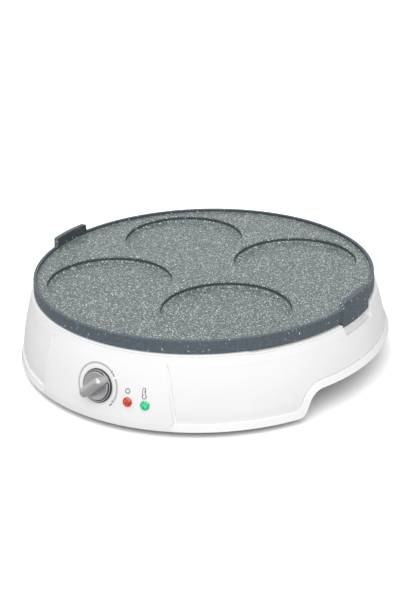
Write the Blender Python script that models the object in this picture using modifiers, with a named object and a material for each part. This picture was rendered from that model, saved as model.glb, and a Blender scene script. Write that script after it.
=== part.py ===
"""Countertop crepe maker: a round lift-off plate with four recesses on a lipped plastic base.

Metres, +Z up. The object stands on z = 0 and its front, with the control panel, faces -Y.
"""

import math

import bmesh
import bpy
from mathutils import Matrix, Vector

# Clearances shared by the whole object
SEAT_GAP = 0.0003
BORE_SLIP = 0.0003
RIVET_SLIP = 0.0005
OVERRUN = 0.003
EMBED = 0.0012
WELD = 0.00001
MERGE = 0.0001

# Housing wall: a lipped foot flange, a leaning wall and a rounded rim
FOOT_RISE = 0.0060
FLANGE_PROUD = 0.0022
FLANGE_HEIGHT = 0.0063
WALL_HEIGHT = 0.0615
RIM_MARGIN = 0.0014
WALL_LEAN = 0.0121
LEAN_SHARE = 0.45
WALL = 0.0022
RIM_ROUND = 0.0026
RIM_LAND = 0.0009
RIM_RELIEF = 0.0010
RIM_RELIEF_DEG = 43.8
WALL_ROW_SHARES = (0.0, 0.19, 0.38, 0.57, 0.78)
PLAIN_STEP_DEG = 7.5
EDGE_STEP_DEG = 0.5

# Finger scoops, where the bottom edge sweeps up on either side
SCOOP_RISE = 0.0206
SCOOP_FRONT_DEG = -30.8
SCOOP_REAR_DEG = 50.0
SWEEP_SLOPE_DEG = 62.0
SWEEP_LOW_RADIUS = 0.0080
SWEEP_HIGH_RADIUS = 0.0160
SWEEP_LOW_STEPS = 3
SWEEP_HIGH_STEPS = 4

# Raised control panel at the front
PANEL_LOW_HALF_DEG = 23.4
PANEL_TOP_HALF_DEG = 20.6
PANEL_TOP_DROP = 0.0065
PANEL_PROUD = 0.0019
PANEL_COLUMNS = 4
FRONT_DEG = -90.0
REAR_DEG = 90.0

# Ledge inside the wall that carries the heat shield, and the notches above it
NOTCH_DEPTH = 0.0105
NOTCH_PLAY = 0.0020
NOTCH_DRAFT = 0.0026
NOTCH_CORNER = 0.0030
LEDGE_HEIGHT = 0.0025
LEDGE_SEAT = 0.0083
SCREEN_PLAY = 0.0006
SCREEN_WALL = 0.0020
SCREEN_HEIGHT = 0.0092
SCREEN_HALF_DEG = 12.5

# Bottom cover
COVER_SHEET = 0.0020
COVER_PLAY = 0.0006
SCOOP_DEPTH = 0.0485
COVER_CORE_RADIUS = 0.0360
COVER_RING_SHARES = (0.0, 0.5, 1.0)
COVER_RAMP_SHARES = (0.25, 0.5, 0.75, 1.0)
VENT_COUNT = 7
VENT_LENGTH = 0.0300
VENT_WIDTH = 0.0032
VENT_PITCH = 0.0080

# Feet and housing screws
FOOT_RADIUS = 0.0100
FOOT_CHAMFER = 0.0012
FOOT_INSET = 0.0265
FOOT_FRONT_DEG = -55.0
FOOT_REAR_DEG = 68.0
FOOT_STEM_RADIUS = 0.0030
FOOT_STEM_TOP = 0.0025
POST_RADIUS = 0.0045
POST_INSET = 0.0195
POST_FRONT_DEG = -40.0
POST_REAR_DEG = 57.0
SCREW_RADIUS = 0.0015
SCREW_HEAD_RADIUS = 0.0032
SCREW_HEAD = 0.0016
COVER_SCREW_LENGTH = 0.0130

# Heat shield, a shallow pressed dish that also carries the plate's feet
SHIELD_SHEET = 0.0010
SHIELD_DEPTH = 0.0083
SHIELD_PLAY = 0.0011
SHIELD_SLOPE = 0.0080
SHIELD_LIP = 0.0005
SHIELD_SCREW_DEG = 45.0
SHIELD_SCREW_INSET = 0.0042
SHIELD_BOSS_RADIUS = 0.0040
SHIELD_BOSS_DEPTH = 0.0110
SHIELD_SCREW_LENGTH = 0.0090

# Plate: cast disc, four cups below, a band round the edge and two lifting lugs
PLATE_RADIUS = 0.1508
PLATE_TAPER = 0.0003
PLATE_BAND = 0.0030
PLATE_PROUD = 0.0120
PLATE_BAND_HEIGHT = 0.0110
PLATE_RIM_ROUND = 0.0008
PLATE_LIP = 0.0029
PLATE_WEB = 0.0036
RECESS_MARGIN = 0.0079
RECESS_SPACING = 0.00836
RECESS_DEPTH = 0.0050
RECESS_FILLET = 0.0022
RECESS_LIP = 0.0006
RECESS_FIRST_DEG = 45.0
RECESS_COUNT = 4
CUP_WALL = 0.0034
LUG_PROUD = 0.0012
LUG_THICKNESS = 0.0030
LUG_RISE = 0.0068
LUG_DROP = 0.0038
LUG_TOP_HALF_WIDTH = 0.0216
LUG_BOTTOM_HALF_WIDTH = 0.0242
LUG_CORNER = 0.0030
PLATE_FOOT_DEPTH = 0.0038
PLATE_FOOT_INSET = 0.0007
PLATE_FOOT_HALF_DEG = 3.2
PLATE_FOOT_DEG = 60.0

# Tubular heating element with its clips and terminals
ELEMENT_RADIUS = 0.0040
ELEMENT_CUP_GAP = 0.0010
ELEMENT_BEND = 0.0080
ELEMENT_GAP_HALF_WIDTH = 0.0130
ELEMENT_LEG_DROP = 0.0060
ELEMENT_RING_STEPS = 40
ELEMENT_BEND_STEPS = 4
CLIP_HALF_WIDTH = 0.0066
CLIP_WIDTH = 0.0050
CLIP_EAR = 0.0012
CLIP_FIRST_DEG = -90.0
CLIP_COUNT = 3
BEAD_RADIUS = 0.0037
BEAD_LENGTH = 0.0060
PIN_RADIUS = 0.0012
PIN_DROP = 0.0050

# Sensing bulb of the thermostat, on a bracket under the middle of the plate
BULB_RADIUS = 0.0030
BULB_LENGTH = 0.0400
BRACKET_SHEET = 0.0010
BULB_BRACKET_WIDTH = 0.0080
BULB_BRACKET_HALF_WIDTH = 0.0120
BULB_BRACKET_FOOT = 0.0060
CAPILLARY_RADIUS = 0.0008
CAPILLARY_HOLE_RADIUS = 0.0028
CAPILLARY_HOLE_X = 0.0290

# Knob and thermostat, along the panel's own normal
KNOB_RISE = 0.0295
KNOB_RADIUS = 0.0118
KNOB_BACK = 0.0006
KNOB_FACE = 0.0049
KNOB_CAVITY = 0.0023
KNOB_CAVITY_RADIUS = 0.0106
KNOB_HUB_RADIUS = 0.0050
RING_WIDTH = 0.0021
RING_DEPTH = 0.0038
GRIP_LENGTH = 0.0276
GRIP_WIDTH = 0.0084
GRIP_TOP = 0.0142
GRIP_ROUND = 0.0016
GRIP_REST_DEG = 42.0
SHAFT_RADIUS = 0.0030
SHAFT_TOP = 0.0105
SHAFT_REAR = 0.0130
NECK_RADIUS = 0.0045
THERMOSTAT_HALF_WIDTH = 0.0160
THERMOSTAT_HALF_HEIGHT = 0.0125
THERMOSTAT_DEPTH = 0.0140
BRIDGE_HALF_WIDTH = 0.0140
BRIDGE_HALF_HEIGHT = 0.0070
BRIDGE_SHEET = 0.0012
PANEL_SCREW_OFFSET = 0.0078
PANEL_SCREW_LENGTH = 0.0080
PANEL_HEAD_RADIUS = 0.0023

# Indicator lamps
RED_LAMP_DEG = -80.1
RED_LAMP_RISE = 0.0215
GREEN_LAMP_DEG = -74.8
GREEN_LAMP_RISE = 0.0208
LENS_RADIUS = 0.0040
LENS_HEIGHT = 0.0016
LENS_STEM_RADIUS = 0.0031
LENS_STEM_DEPTH = 0.0090
LENS_WALL = 0.0008
LENS_DOME_STEPS = 3
NEON_TAIL = 0.0030
NEON_TIP_SHARE = 0.5

# Cord gland at the rear
GLAND_RISE = 0.0190
GLAND_NECK_RADIUS = 0.0065
GLAND_FLANGE_RADIUS = 0.0090
GLAND_PROUD = 0.0050
GLAND_REAR = 0.0030
GLAND_BORE_RADIUS = 0.0040
GLAND_WALL_PLAY = 0.0004

# Terminal block, fuse and earth tag
BLOCK_INSET = 0.0685
BLOCK_HALF_WIDTH = 0.0190
BLOCK_HALF_DEPTH = 0.0080
BLOCK_HEIGHT = 0.0140
BLOCK_POLE_PITCH = 0.0110
BLOCK_BORE_RADIUS = 0.0018
BLOCK_BORE_RISE = 0.0065
BLOCK_SCREW_X = 0.0055
CLAMP_RADIUS = 0.0018
CLAMP_BORE_SLIP = 0.0003
CLAMP_TOP_DROP = 0.0010
FUSE_RADIUS = 0.0025
FUSE_LENGTH = 0.0280
FUSE_X = -0.0400
FUSE_Y = 0.0200
FUSE_STRAP_WIDTH = 0.0080
FUSE_STRAP_SHEET = 0.0008
FUSE_STRAP_FOOT = 0.0050
TAG_X = 0.0450
TAG_Y = 0.0300
TAG_HALF_WIDTH = 0.0040
TAG_LENGTH = 0.0160
TAG_SHEET = 0.0010
EARTH_SCREW_LENGTH = 0.0040

# Insulated leads inside the base
LEAD_RADIUS = 0.0012
LAMP_LEAD_RADIUS = 0.0006
LAMP_LEAD_HALF_PITCH = 0.0010
LEAD_TAIL = 0.0040
LAMP_LEAD_ROW_SHARES = (-0.6, -0.2, 0.2, 0.6)

# Facet counts
DISC_STEPS = 60
CUP_STEPS = 28
RECESS_STEPS = 36
KNOB_STEPS = 32
ROUND_STEPS = 16
SMALL_STEPS = 10
CORNER_STEPS = 2
GRIP_END_STEPS = 5
TUBE_SIDES = 2
WIRE_SIDES = 1
SHARP_EDGE_DEG = 35.0

# Radii that follow from the plate's
WALL_TOP_RADIUS = PLATE_RADIUS + RIM_MARGIN
WALL_FOOT_RADIUS = WALL_TOP_RADIUS + WALL_LEAN
FLANGE_RADIUS = WALL_FOOT_RADIUS + FLANGE_PROUD
PLATE_TOP_RADIUS = PLATE_RADIUS - PLATE_TAPER
LUG_OUTER_RADIUS = PLATE_RADIUS + LUG_PROUD
SCREEN_RADIUS = LUG_OUTER_RADIUS - LUG_THICKNESS - SCREEN_PLAY
SHIELD_RADIUS = SCREEN_RADIUS - SCREEN_WALL - SHIELD_PLAY
LEDGE_RADIUS = SHIELD_RADIUS - LEDGE_SEAT
SHIELD_SCREW_CIRCLE = LEDGE_RADIUS + SHIELD_SCREW_INSET
SHIELD_FLOOR_RADIUS = LEDGE_RADIUS - SHIELD_SLOPE
PLATE_FOOT_OUTER = SHIELD_RADIUS - PLATE_FOOT_INSET
PLATE_FOOT_INNER = PLATE_FOOT_OUTER - PLATE_FOOT_DEPTH
COVER_RAMP_RADIUS = FLANGE_RADIUS - SCOOP_DEPTH
FOOT_CIRCLE = FLANGE_RADIUS - FOOT_INSET
POST_CIRCLE = FLANGE_RADIUS - POST_INSET
BLOCK_Y = FLANGE_RADIUS - BLOCK_INSET
RECESS_REACH = PLATE_RADIUS - PLATE_BAND - RECESS_MARGIN
RECESS_CHORD_SHARE = 2 * math.sin(math.pi / RECESS_COUNT)
RECESS_RADIUS = (RECESS_REACH * RECESS_CHORD_SHARE - RECESS_SPACING) / (2 + RECESS_CHORD_SHARE)
RECESS_CIRCLE = RECESS_REACH - RECESS_RADIUS
ELEMENT_CIRCLE = RECESS_CIRCLE

# Heights and widths that follow from the housing and its pieces
RIM_Z = FOOT_RISE + WALL_HEIGHT
FLANGE_TOP_Z = FOOT_RISE + FLANGE_HEIGHT
PANEL_TOP_Z = RIM_Z - PANEL_TOP_DROP
LEDGE_Z = RIM_Z - NOTCH_DEPTH
NOTCH_TOP_HALF_WIDTH = LUG_BOTTOM_HALF_WIDTH + NOTCH_PLAY
NOTCH_FLOOR_HALF_WIDTH = NOTCH_TOP_HALF_WIDTH - NOTCH_DRAFT
PLATE_RIM_Z = RIM_Z + PLATE_PROUD
PLATE_COOK_Z = PLATE_RIM_Z - PLATE_LIP
LUG_TOP_Z = PLATE_RIM_Z + LUG_RISE
LUG_BOTTOM_Z = RIM_Z - LUG_DROP
KNOB_Z = FOOT_RISE + KNOB_RISE
RED_LAMP_Z = FOOT_RISE + RED_LAMP_RISE
GREEN_LAMP_Z = FOOT_RISE + GREEN_LAMP_RISE
GLAND_Z = FOOT_RISE + GLAND_RISE
COVER_TOP = FLANGE_HEIGHT - WALL - SEAT_GAP
COVER_TOP_Z = FOOT_RISE + COVER_TOP
COVER_BOTTOM_Z = COVER_TOP_Z - COVER_SHEET
SHIELD_FLANGE_Z = LEDGE_Z + SEAT_GAP + SHIELD_SHEET
SHIELD_FLOOR_Z = SHIELD_FLANGE_Z - SHIELD_DEPTH
SHIELD_UNDER_Z = SHIELD_FLOOR_Z - SHIELD_SHEET
PLATE_WEB_Z = PLATE_COOK_Z - PLATE_WEB
CUP_BOTTOM_Z = PLATE_COOK_Z - RECESS_DEPTH - CUP_WALL
ELEMENT_Z = CUP_BOTTOM_Z - ELEMENT_CUP_GAP - ELEMENT_RADIUS
FUSE_Z = SHIELD_UNDER_Z - SEAT_GAP - FUSE_RADIUS
LEG_BOTTOM_Z = SHIELD_UNDER_Z - ELEMENT_LEG_DROP
KNOB_RING_TOP = KNOB_BACK + RING_DEPTH
GRIP_FOOT = KNOB_RING_TOP + SEAT_GAP
BLOCK_FLOOR_Z = COVER_TOP_Z + SEAT_GAP
SIDES = (-1, 1)
SIDE_NAMES = {"left": -1, "right": 1}

# Colours and surfaces by finish: colour, roughness, metallic
FINISHES = {
    "white_plastic": ((0.83, 0.83, 0.82), 0.22, 0.0),
    "grey_plastic": ((0.30, 0.31, 0.32), 0.55, 0.0),
    "black_plastic": ((0.03, 0.03, 0.03), 0.50, 0.0),
    "coated_casting": ((0.17, 0.19, 0.19), 0.45, 0.1),
    "silver_plastic": ((0.38, 0.38, 0.39), 0.35, 0.6),
    "steel": ((0.56, 0.56, 0.57), 0.30, 1.0),
    "aluminium": ((0.80, 0.80, 0.80), 0.35, 1.0),
    "brass": ((0.78, 0.57, 0.25), 0.30, 1.0),
    "copper": ((0.72, 0.36, 0.22), 0.35, 1.0),
    "rubber": ((0.05, 0.05, 0.05), 0.80, 0.0),
    "ceramic": ((0.85, 0.83, 0.78), 0.50, 0.0),
    "red_lens": ((0.70, 0.05, 0.02), 0.15, 0.0),
    "green_lens": ((0.02, 0.55, 0.25), 0.15, 0.0),
    "glass": ((0.80, 0.75, 0.70), 0.05, 0.0),
    "brown_lead": ((0.20, 0.09, 0.04), 0.50, 0.0),
    "blue_lead": ((0.04, 0.12, 0.40), 0.50, 0.0),
    "green_lead": ((0.10, 0.40, 0.10), 0.50, 0.0),
    "grey_lead": ((0.35, 0.35, 0.35), 0.50, 0.0),
}


# Scene and object helpers


def clear_scene():
    """Empties the scene so that the model is built from nothing."""
    for obj in list(bpy.data.objects):
        bpy.data.objects.remove(obj, do_unlink=True)


def collection(name):
    """Collection with this name, linked to the scene."""
    found = bpy.data.collections.new(name)
    bpy.context.scene.collection.children.link(found)
    return found


def finish(mesh, node, finish_name):
    """Gives a mesh its own Principled material."""
    colour, roughness, metallic = FINISHES[finish_name]
    material = bpy.data.materials.new(node + "_" + finish_name)
    material.use_nodes = True
    shader = material.node_tree.nodes["Principled BSDF"]
    shader.inputs["Base Color"].default_value = (*colour, 1.0)
    shader.inputs["Roughness"].default_value = roughness
    shader.inputs["Metallic"].default_value = metallic
    material.diffuse_color = (*colour, 1.0)
    mesh.materials.clear()
    mesh.materials.append(material)


def empty(name, frame, parent=None):
    """Empty at a frame, as a parent for what sits on that axis."""
    axis = bpy.data.objects.new(name, None)
    PARTS.objects.link(axis)
    axis.parent = parent
    axis.matrix_basis = frame
    return axis


def part(node, mesh, finish_name, parent, place=Matrix()):
    """One named piece of the object."""
    mesh.name = node
    finish(mesh, node, finish_name)
    mesh.shade_smooth()
    mesh.set_sharp_from_angle(angle=math.radians(SHARP_EDGE_DEG))
    obj = bpy.data.objects.new(node, mesh)
    PARTS.objects.link(obj)
    obj.parent = parent
    obj.matrix_basis = place
    return obj


def repeated(node, mesh, finish_name, parent, places):
    """Copies of one piece, each its own node named after its place."""
    for suffix, place in places.items():
        part(node + "_" + suffix, mesh.copy(), finish_name, parent, place)


def tool(name, mesh, parent=None, place=Matrix()):
    """Hidden body that cuts or joins a piece."""
    obj = bpy.data.objects.new(name, mesh)
    CUTTERS.objects.link(obj)
    obj.parent = parent
    obj.matrix_basis = place
    obj.hide_render = True
    obj.display_type = "WIRE"
    return obj


def combine(obj, cutter, operation):
    """Exact Boolean of a piece with a hidden body."""
    modifier = obj.modifiers.new(operation.title() + " " + cutter.name, "BOOLEAN")
    modifier.operation = operation
    modifier.solver = "EXACT"
    modifier.object = cutter


def baked(obj):
    """Mesh of an object with its modifiers applied; the object is removed."""
    bpy.context.view_layer.update()
    graph = bpy.context.evaluated_depsgraph_get()
    mesh = bpy.data.meshes.new_from_object(obj.evaluated_get(graph))
    bpy.data.objects.remove(obj, do_unlink=True)
    work = bmesh.new()
    work.from_mesh(mesh)
    bmesh.ops.remove_doubles(work, verts=work.verts, dist=WELD)
    bmesh.ops.recalc_face_normals(work, faces=work.faces)
    work.to_mesh(mesh)
    work.free()
    return mesh


def copies(mesh, frames):
    """One mesh that holds a copy of another at every frame."""
    work = bmesh.new()
    for frame in frames:
        before = len(work.verts)
        work.from_mesh(mesh)
        work.verts.ensure_lookup_table()
        bmesh.ops.transform(work, matrix=frame, verts=work.verts[before:])
    result = bpy.data.meshes.new(mesh.name + "_copies")
    work.to_mesh(result)
    work.free()
    return result


def joined(meshes):
    """One mesh that holds several separate solids."""
    work = bmesh.new()
    for mesh in meshes:
        work.from_mesh(mesh)
    result = bpy.data.meshes.new("joined")
    work.to_mesh(result)
    work.free()
    return result


# Shape helpers


def shift(x, y, z):
    """Frame moved by x, y, z."""
    return Matrix.Translation((x, y, z))


def turn(degrees, axis="Z"):
    """Frame turned about one axis."""
    return Matrix.Rotation(math.radians(degrees), 4, axis)


def polar(radius, degrees, z):
    """Point at a radius and an angle from +X."""
    angle = math.radians(degrees)
    return Vector((radius * math.cos(angle), radius * math.sin(angle), z))


def at_polar(radius, degrees, z):
    """Frame at a radius and angle, its own +X pointing outwards."""
    return turn(degrees) @ shift(radius, 0, z)


def profile_object(name, profile, steps, closed):
    """Profile in the XZ plane with a Screw modifier; its outer side runs downwards."""
    last = len(profile)
    edges = [(i, i + 1) for i in range(last - 1)]
    if closed:
        edges.append((last - 1, 0))
    mesh = bpy.data.meshes.new(name)
    mesh.from_pydata([(r, 0, z) for r, z in profile], edges, [])
    obj = bpy.data.objects.new(name, mesh)
    bpy.context.scene.collection.objects.link(obj)
    screw = obj.modifiers.new("Turn", "SCREW")
    screw.axis = "Z"
    screw.angle = math.tau
    screw.steps = steps
    screw.render_steps = steps
    screw.use_merge_vertices = True
    screw.merge_threshold = MERGE
    return obj


def turned(name, profile, steps, closed=False):
    """Solid turned about Z from a closed profile, or from one that starts and ends on the axis."""
    return baked(profile_object(name, profile, steps, closed))


def dished(name, profile, steps, sheet):
    """Sheet turned about Z, its thickness laid under the profile."""
    obj = profile_object(name, profile, steps, False)
    solidify = obj.modifiers.new("Sheet", "SOLIDIFY")
    solidify.thickness = sheet
    solidify.offset = -1
    solidify.use_even_offset = True
    return baked(obj)


def rod(name, radius, low, high, steps=SMALL_STEPS):
    """Cylinder on the Z axis between two heights."""
    mesh = bpy.data.meshes.new(name)
    work = bmesh.new()
    bmesh.ops.create_cone(
        work,
        cap_ends=True,
        segments=steps,
        radius1=radius,
        radius2=radius,
        depth=high - low,
        matrix=shift(0, 0, (low + high) / 2),
    )
    work.to_mesh(mesh)
    work.free()
    return mesh


def rods(name, radius, low, high, frames, steps=SMALL_STEPS):
    """Same cylinder at every frame, as one mesh."""
    return copies(rod(name, radius, low, high, steps), frames)


def block(name, low, high):
    """Box between two corners."""
    mesh = bpy.data.meshes.new(name)
    low = Vector(low)
    size = Vector(high) - low
    work = bmesh.new()
    frame = Matrix.Translation(low + size / 2) @ Matrix.Diagonal((*size, 1))
    bmesh.ops.create_cube(work, size=1, matrix=frame)
    work.to_mesh(mesh)
    work.free()
    return mesh


def prism(name, outline, thickness):
    """Flat outline in the XY plane, extruded evenly to both sides of it."""
    curve = bpy.data.curves.new(name, "CURVE")
    curve.dimensions = "2D"
    curve.fill_mode = "BOTH"
    curve.extrude = thickness / 2
    spline = curve.splines.new("POLY")
    spline.points.add(len(outline) - 1)
    for point, (x, y) in zip(spline.points, outline):
        point.co = (x, y, 0, 1)
    spline.use_cyclic_u = True
    obj = bpy.data.objects.new(name, curve)
    bpy.context.scene.collection.objects.link(obj)
    return baked(obj)


def strip(name, path, width, sheet):
    """Bent metal strip: a path in the XZ plane, its thickness laid on its left side."""
    points = []
    for x, z in path:
        points.append((x, -width / 2, z))
        points.append((x, width / 2, z))
    faces = [(2 * i, 2 * i + 2, 2 * i + 3, 2 * i + 1) for i in range(len(path) - 1)]
    mesh = bpy.data.meshes.new(name)
    mesh.from_pydata(points, [], faces)
    obj = bpy.data.objects.new(name, mesh)
    bpy.context.scene.collection.objects.link(obj)
    solidify = obj.modifiers.new("Sheet", "SOLIDIFY")
    solidify.thickness = sheet
    solidify.offset = 1
    solidify.use_even_offset = True
    return baked(obj)


def tube(name, points, radius, sides=TUBE_SIDES):
    """Round wire along a list of points."""
    curve = bpy.data.curves.new(name, "CURVE")
    curve.dimensions = "3D"
    curve.bevel_depth = radius
    curve.bevel_resolution = sides
    curve.use_fill_caps = True
    spline = curve.splines.new("POLY")
    spline.points.add(len(points) - 1)
    for point, place in zip(spline.points, points):
        point.co = (*place, 1)
    obj = bpy.data.objects.new(name, curve)
    bpy.context.scene.collection.objects.link(obj)
    return baked(obj)


def smooth_route(points, pieces=2):
    """Points of a smooth curve through a route's own points, its pace set by their distances."""
    spans = [end - start for start, end in zip(points, points[1:])]
    ways = [spans[0].normalized()]
    for before, after in zip(spans, spans[1:]):
        near = before.normalized() * after.length + after.normalized() * before.length
        ways.append(near / (before.length + after.length))
    ways.append(spans[-1].normalized())
    route = []
    for start, span, leave, arrive in zip(points, spans, ways, ways[1:]):
        for step in range(pieces):
            t = step / pieces
            ease = t * t * (3 - 2 * t)
            pull = leave * (t * (1 - t) ** 2) - arrive * (t * t * (1 - t))
            route.append(start + span * ease + pull * span.length)
    route.append(points[-1])
    return route


def arc(centre, radius, start_deg, end_deg, steps):
    """Points on an arc in a plane, both ends included."""
    angles = [start_deg + (end_deg - start_deg) * i / steps for i in range(steps + 1)]
    return [
        (
            centre[0] + radius * math.cos(math.radians(angle)),
            centre[1] + radius * math.sin(math.radians(angle)),
        )
        for angle in angles
    ]


def pan_screw(name, head_radius, length):
    """Pan-head screw: the head above z = 0, the shank below it."""
    profile = [
        (0, SCREW_HEAD),
        (head_radius - SCREW_HEAD / 2, SCREW_HEAD),
        (head_radius, SCREW_HEAD / 2),
        (head_radius, 0),
        (SCREW_RADIUS, 0),
        (SCREW_RADIUS, -length),
        (0, -length),
    ]
    return turned(name, profile, SMALL_STEPS)


# Housing surfaces


def wall_radius(z):
    """Outer radius of the leaning wall at a height."""
    share = max(0.0, (z - FLANGE_TOP_Z) / (RIM_Z - FLANGE_TOP_Z))
    lean = LEAN_SHARE * share + (1 - LEAN_SHARE) * share * share
    return WALL_FOOT_RADIUS - (WALL_FOOT_RADIUS - WALL_TOP_RADIUS) * lean


def panel_proud(z):
    """How far the control panel stands off the wall at a height."""
    share = (PANEL_TOP_Z - z) / (PANEL_TOP_Z - FLANGE_TOP_Z)
    return PANEL_PROUD * max(0.0, min(1.0, share))


def sweep_stations():
    """Bottom edge as it sweeps up into a scoop: run along the wall, rise and slope in degrees."""
    slope = math.radians(SWEEP_SLOPE_DEG)
    low_run = SWEEP_LOW_RADIUS * math.sin(slope)
    low_rise = SWEEP_LOW_RADIUS * (1 - math.cos(slope))
    high_rise = SWEEP_HIGH_RADIUS * (1 - math.cos(slope))
    straight_run = (SCOOP_RISE - low_rise - high_rise) / math.tan(slope)
    stations = []
    for i in range(SWEEP_LOW_STEPS + 1):
        a = slope * i / SWEEP_LOW_STEPS
        run = SWEEP_LOW_RADIUS * math.sin(a)
        rise = SWEEP_LOW_RADIUS * (1 - math.cos(a))
        stations.append((run, rise, a))
    for i in range(SWEEP_HIGH_STEPS + 1):
        a = slope * (1 - i / SWEEP_HIGH_STEPS)
        run = low_run + straight_run + SWEEP_HIGH_RADIUS * (math.sin(slope) - math.sin(a))
        rise = SCOOP_RISE - SWEEP_HIGH_RADIUS * (1 - math.cos(a))
        stations.append((run, rise, a))
    return stations


def spread(start, end, step):
    """Angles between two ends, ends left out, no further apart than the step."""
    count = max(1, math.ceil(abs(end - start) / step))
    return [start + (end - start) * i / count for i in range(1, count)]


def half_columns():
    """Columns of the right half, front to rear: bottom and top angle, rise, slope, on panel."""
    sweep = sweep_stations()
    run_deg = [math.degrees(run / FLANGE_RADIUS) for run, rise, a in sweep]
    scoop_start = SCOOP_FRONT_DEG + run_deg[-1]
    scoop_end = SCOOP_REAR_DEG - run_deg[-1]
    columns = []
    for i in range(PANEL_COLUMNS + 1):
        share = i / PANEL_COLUMNS
        low = FRONT_DEG + PANEL_LOW_HALF_DEG * share
        top = FRONT_DEG + PANEL_TOP_HALF_DEG * share
        columns.append((low, top, 0.0, 0.0, True))
    low = FRONT_DEG + PANEL_LOW_HALF_DEG + EDGE_STEP_DEG
    top = FRONT_DEG + PANEL_TOP_HALF_DEG + EDGE_STEP_DEG
    columns.append((low, top, 0.0, 0.0, False))
    relief = -RIM_RELIEF_DEG
    edges = [relief - EDGE_STEP_DEG / 2, relief + EDGE_STEP_DEG / 2]
    front = spread(low, edges[0], PLAIN_STEP_DEG) + edges
    front += spread(edges[1], SCOOP_FRONT_DEG, PLAIN_STEP_DEG)
    columns += [(deg, deg, 0.0, 0.0, False) for deg in front]
    for deg, (run, rise, a) in zip(run_deg, sweep):
        columns.append((SCOOP_FRONT_DEG + deg, None, rise, a, False))
    for deg in spread(scoop_start, scoop_end, PLAIN_STEP_DEG):
        columns.append((deg, deg, SCOOP_RISE, 0.0, False))
    for deg, (run, rise, a) in reversed(list(zip(run_deg, sweep))):
        columns.append((SCOOP_REAR_DEG - deg, None, rise, -a, False))
    for deg in spread(SCOOP_REAR_DEG, REAR_DEG, PLAIN_STEP_DEG) + [REAR_DEG]:
        columns.append((deg, deg, 0.0, 0.0, False))
    return columns


def rim_height(degrees):
    """Height of the rim, which is relieved around each lug."""
    return RIM_Z - RIM_RELIEF if abs(degrees) < RIM_RELIEF_DEG else RIM_Z


def wall_column(column):
    """Points of one column of the wall, from the bottom edge to the inner end of the rim."""
    low_deg, top_deg, rise, slope, on_panel = column
    edge_z = FOOT_RISE + rise
    flange_z = edge_z + FLANGE_HEIGHT * math.cos(slope)
    flange_deg = low_deg - math.degrees(FLANGE_HEIGHT * math.sin(slope) / FLANGE_RADIUS)
    if top_deg is None:
        top_deg = flange_deg
    rim_z = rim_height(top_deg)
    corner_z = rim_z - RIM_ROUND
    points = [
        polar(wall_radius(edge_z) + FLANGE_PROUD, low_deg, edge_z),
        polar(wall_radius(flange_z) + FLANGE_PROUD, flange_deg, flange_z),
    ]
    for share in WALL_ROW_SHARES:
        z = flange_z + (corner_z - flange_z) * share
        degrees = flange_deg + (top_deg - flange_deg) * share
        proud = panel_proud(z) if on_panel else 0.0
        points.append(polar(wall_radius(z) + proud, degrees, z))
    corner_radius = wall_radius(corner_z) - RIM_ROUND
    for i in range(CORNER_STEPS + 1):
        a = math.pi / 2 * i / CORNER_STEPS
        radius = corner_radius + RIM_ROUND * math.cos(a)
        points.append(polar(radius, top_deg, corner_z + RIM_ROUND * math.sin(a)))
    points.append(polar(corner_radius - RIM_LAND, top_deg, rim_z))
    return points


def grid_mesh(name, columns, flip=False):
    """Surface through a grid of points, one list for each column."""
    rows = len(columns[0])
    points = [point for column in columns for point in column]
    faces = []
    for c in range(len(columns) - 1):
        for r in range(rows - 1):
            a = c * rows + r
            face = (a, a + rows, a + rows + 1, a + 1)
            faces.append(face[::-1] if flip else face)
    mesh = bpy.data.meshes.new(name)
    mesh.from_pydata(points, [], faces)
    return mesh


def mirrored_sheet(name, mesh, sheet, offset):
    """Half surface mirrored across X and given its thickness."""
    obj = bpy.data.objects.new(name, mesh)
    bpy.context.scene.collection.objects.link(obj)
    mirror = obj.modifiers.new("Mirror", "MIRROR")
    mirror.use_axis = (True, False, False)
    mirror.merge_threshold = MERGE
    solidify = obj.modifiers.new("Sheet", "SOLIDIFY")
    solidify.thickness = sheet
    solidify.offset = offset
    solidify.use_even_offset = True
    return baked(obj)


def wall_frame(degrees, z, proud=0.0):
    """Frame on the outer face of the wall: X along it, Y up it and Z straight out."""
    probe = WALL / 2
    on_panel = proud > 0
    above = wall_radius(z + probe) + (panel_proud(z + probe) if on_panel else 0)
    below = wall_radius(z - probe) + (panel_proud(z - probe) if on_panel else 0)
    lean = math.degrees(math.atan2(below - above, 2 * probe))
    place = Matrix.Translation(polar(wall_radius(z) + proud, degrees, z))
    return place @ turn(degrees + 90) @ turn(90 - lean, "X")


def mirrored_angles(front_deg, rear_deg):
    """Four angles, two at the front and two at the rear, mirrored across X."""
    return {
        "front_left": -180 - front_deg,
        "front_right": front_deg,
        "rear_left": 180 - rear_deg,
        "rear_right": rear_deg,
    }


KNOB_FRAME = wall_frame(FRONT_DEG, KNOB_Z, panel_proud(KNOB_Z))
RED_FRAME = wall_frame(RED_LAMP_DEG, RED_LAMP_Z, panel_proud(RED_LAMP_Z))
GREEN_FRAME = wall_frame(GREEN_LAMP_DEG, GREEN_LAMP_Z, panel_proud(GREEN_LAMP_Z))
GLAND_FRAME = wall_frame(REAR_DEG, GLAND_Z)
FOOT_ANGLES = mirrored_angles(FOOT_FRONT_DEG, FOOT_REAR_DEG)
POST_ANGLES = mirrored_angles(POST_FRONT_DEG, POST_REAR_DEG)
SHIELD_SCREW_ANGLES = mirrored_angles(-SHIELD_SCREW_DEG, SHIELD_SCREW_DEG)
PLATE_FOOT_ANGLES = mirrored_angles(-PLATE_FOOT_DEG, PLATE_FOOT_DEG)


# Housing


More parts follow.
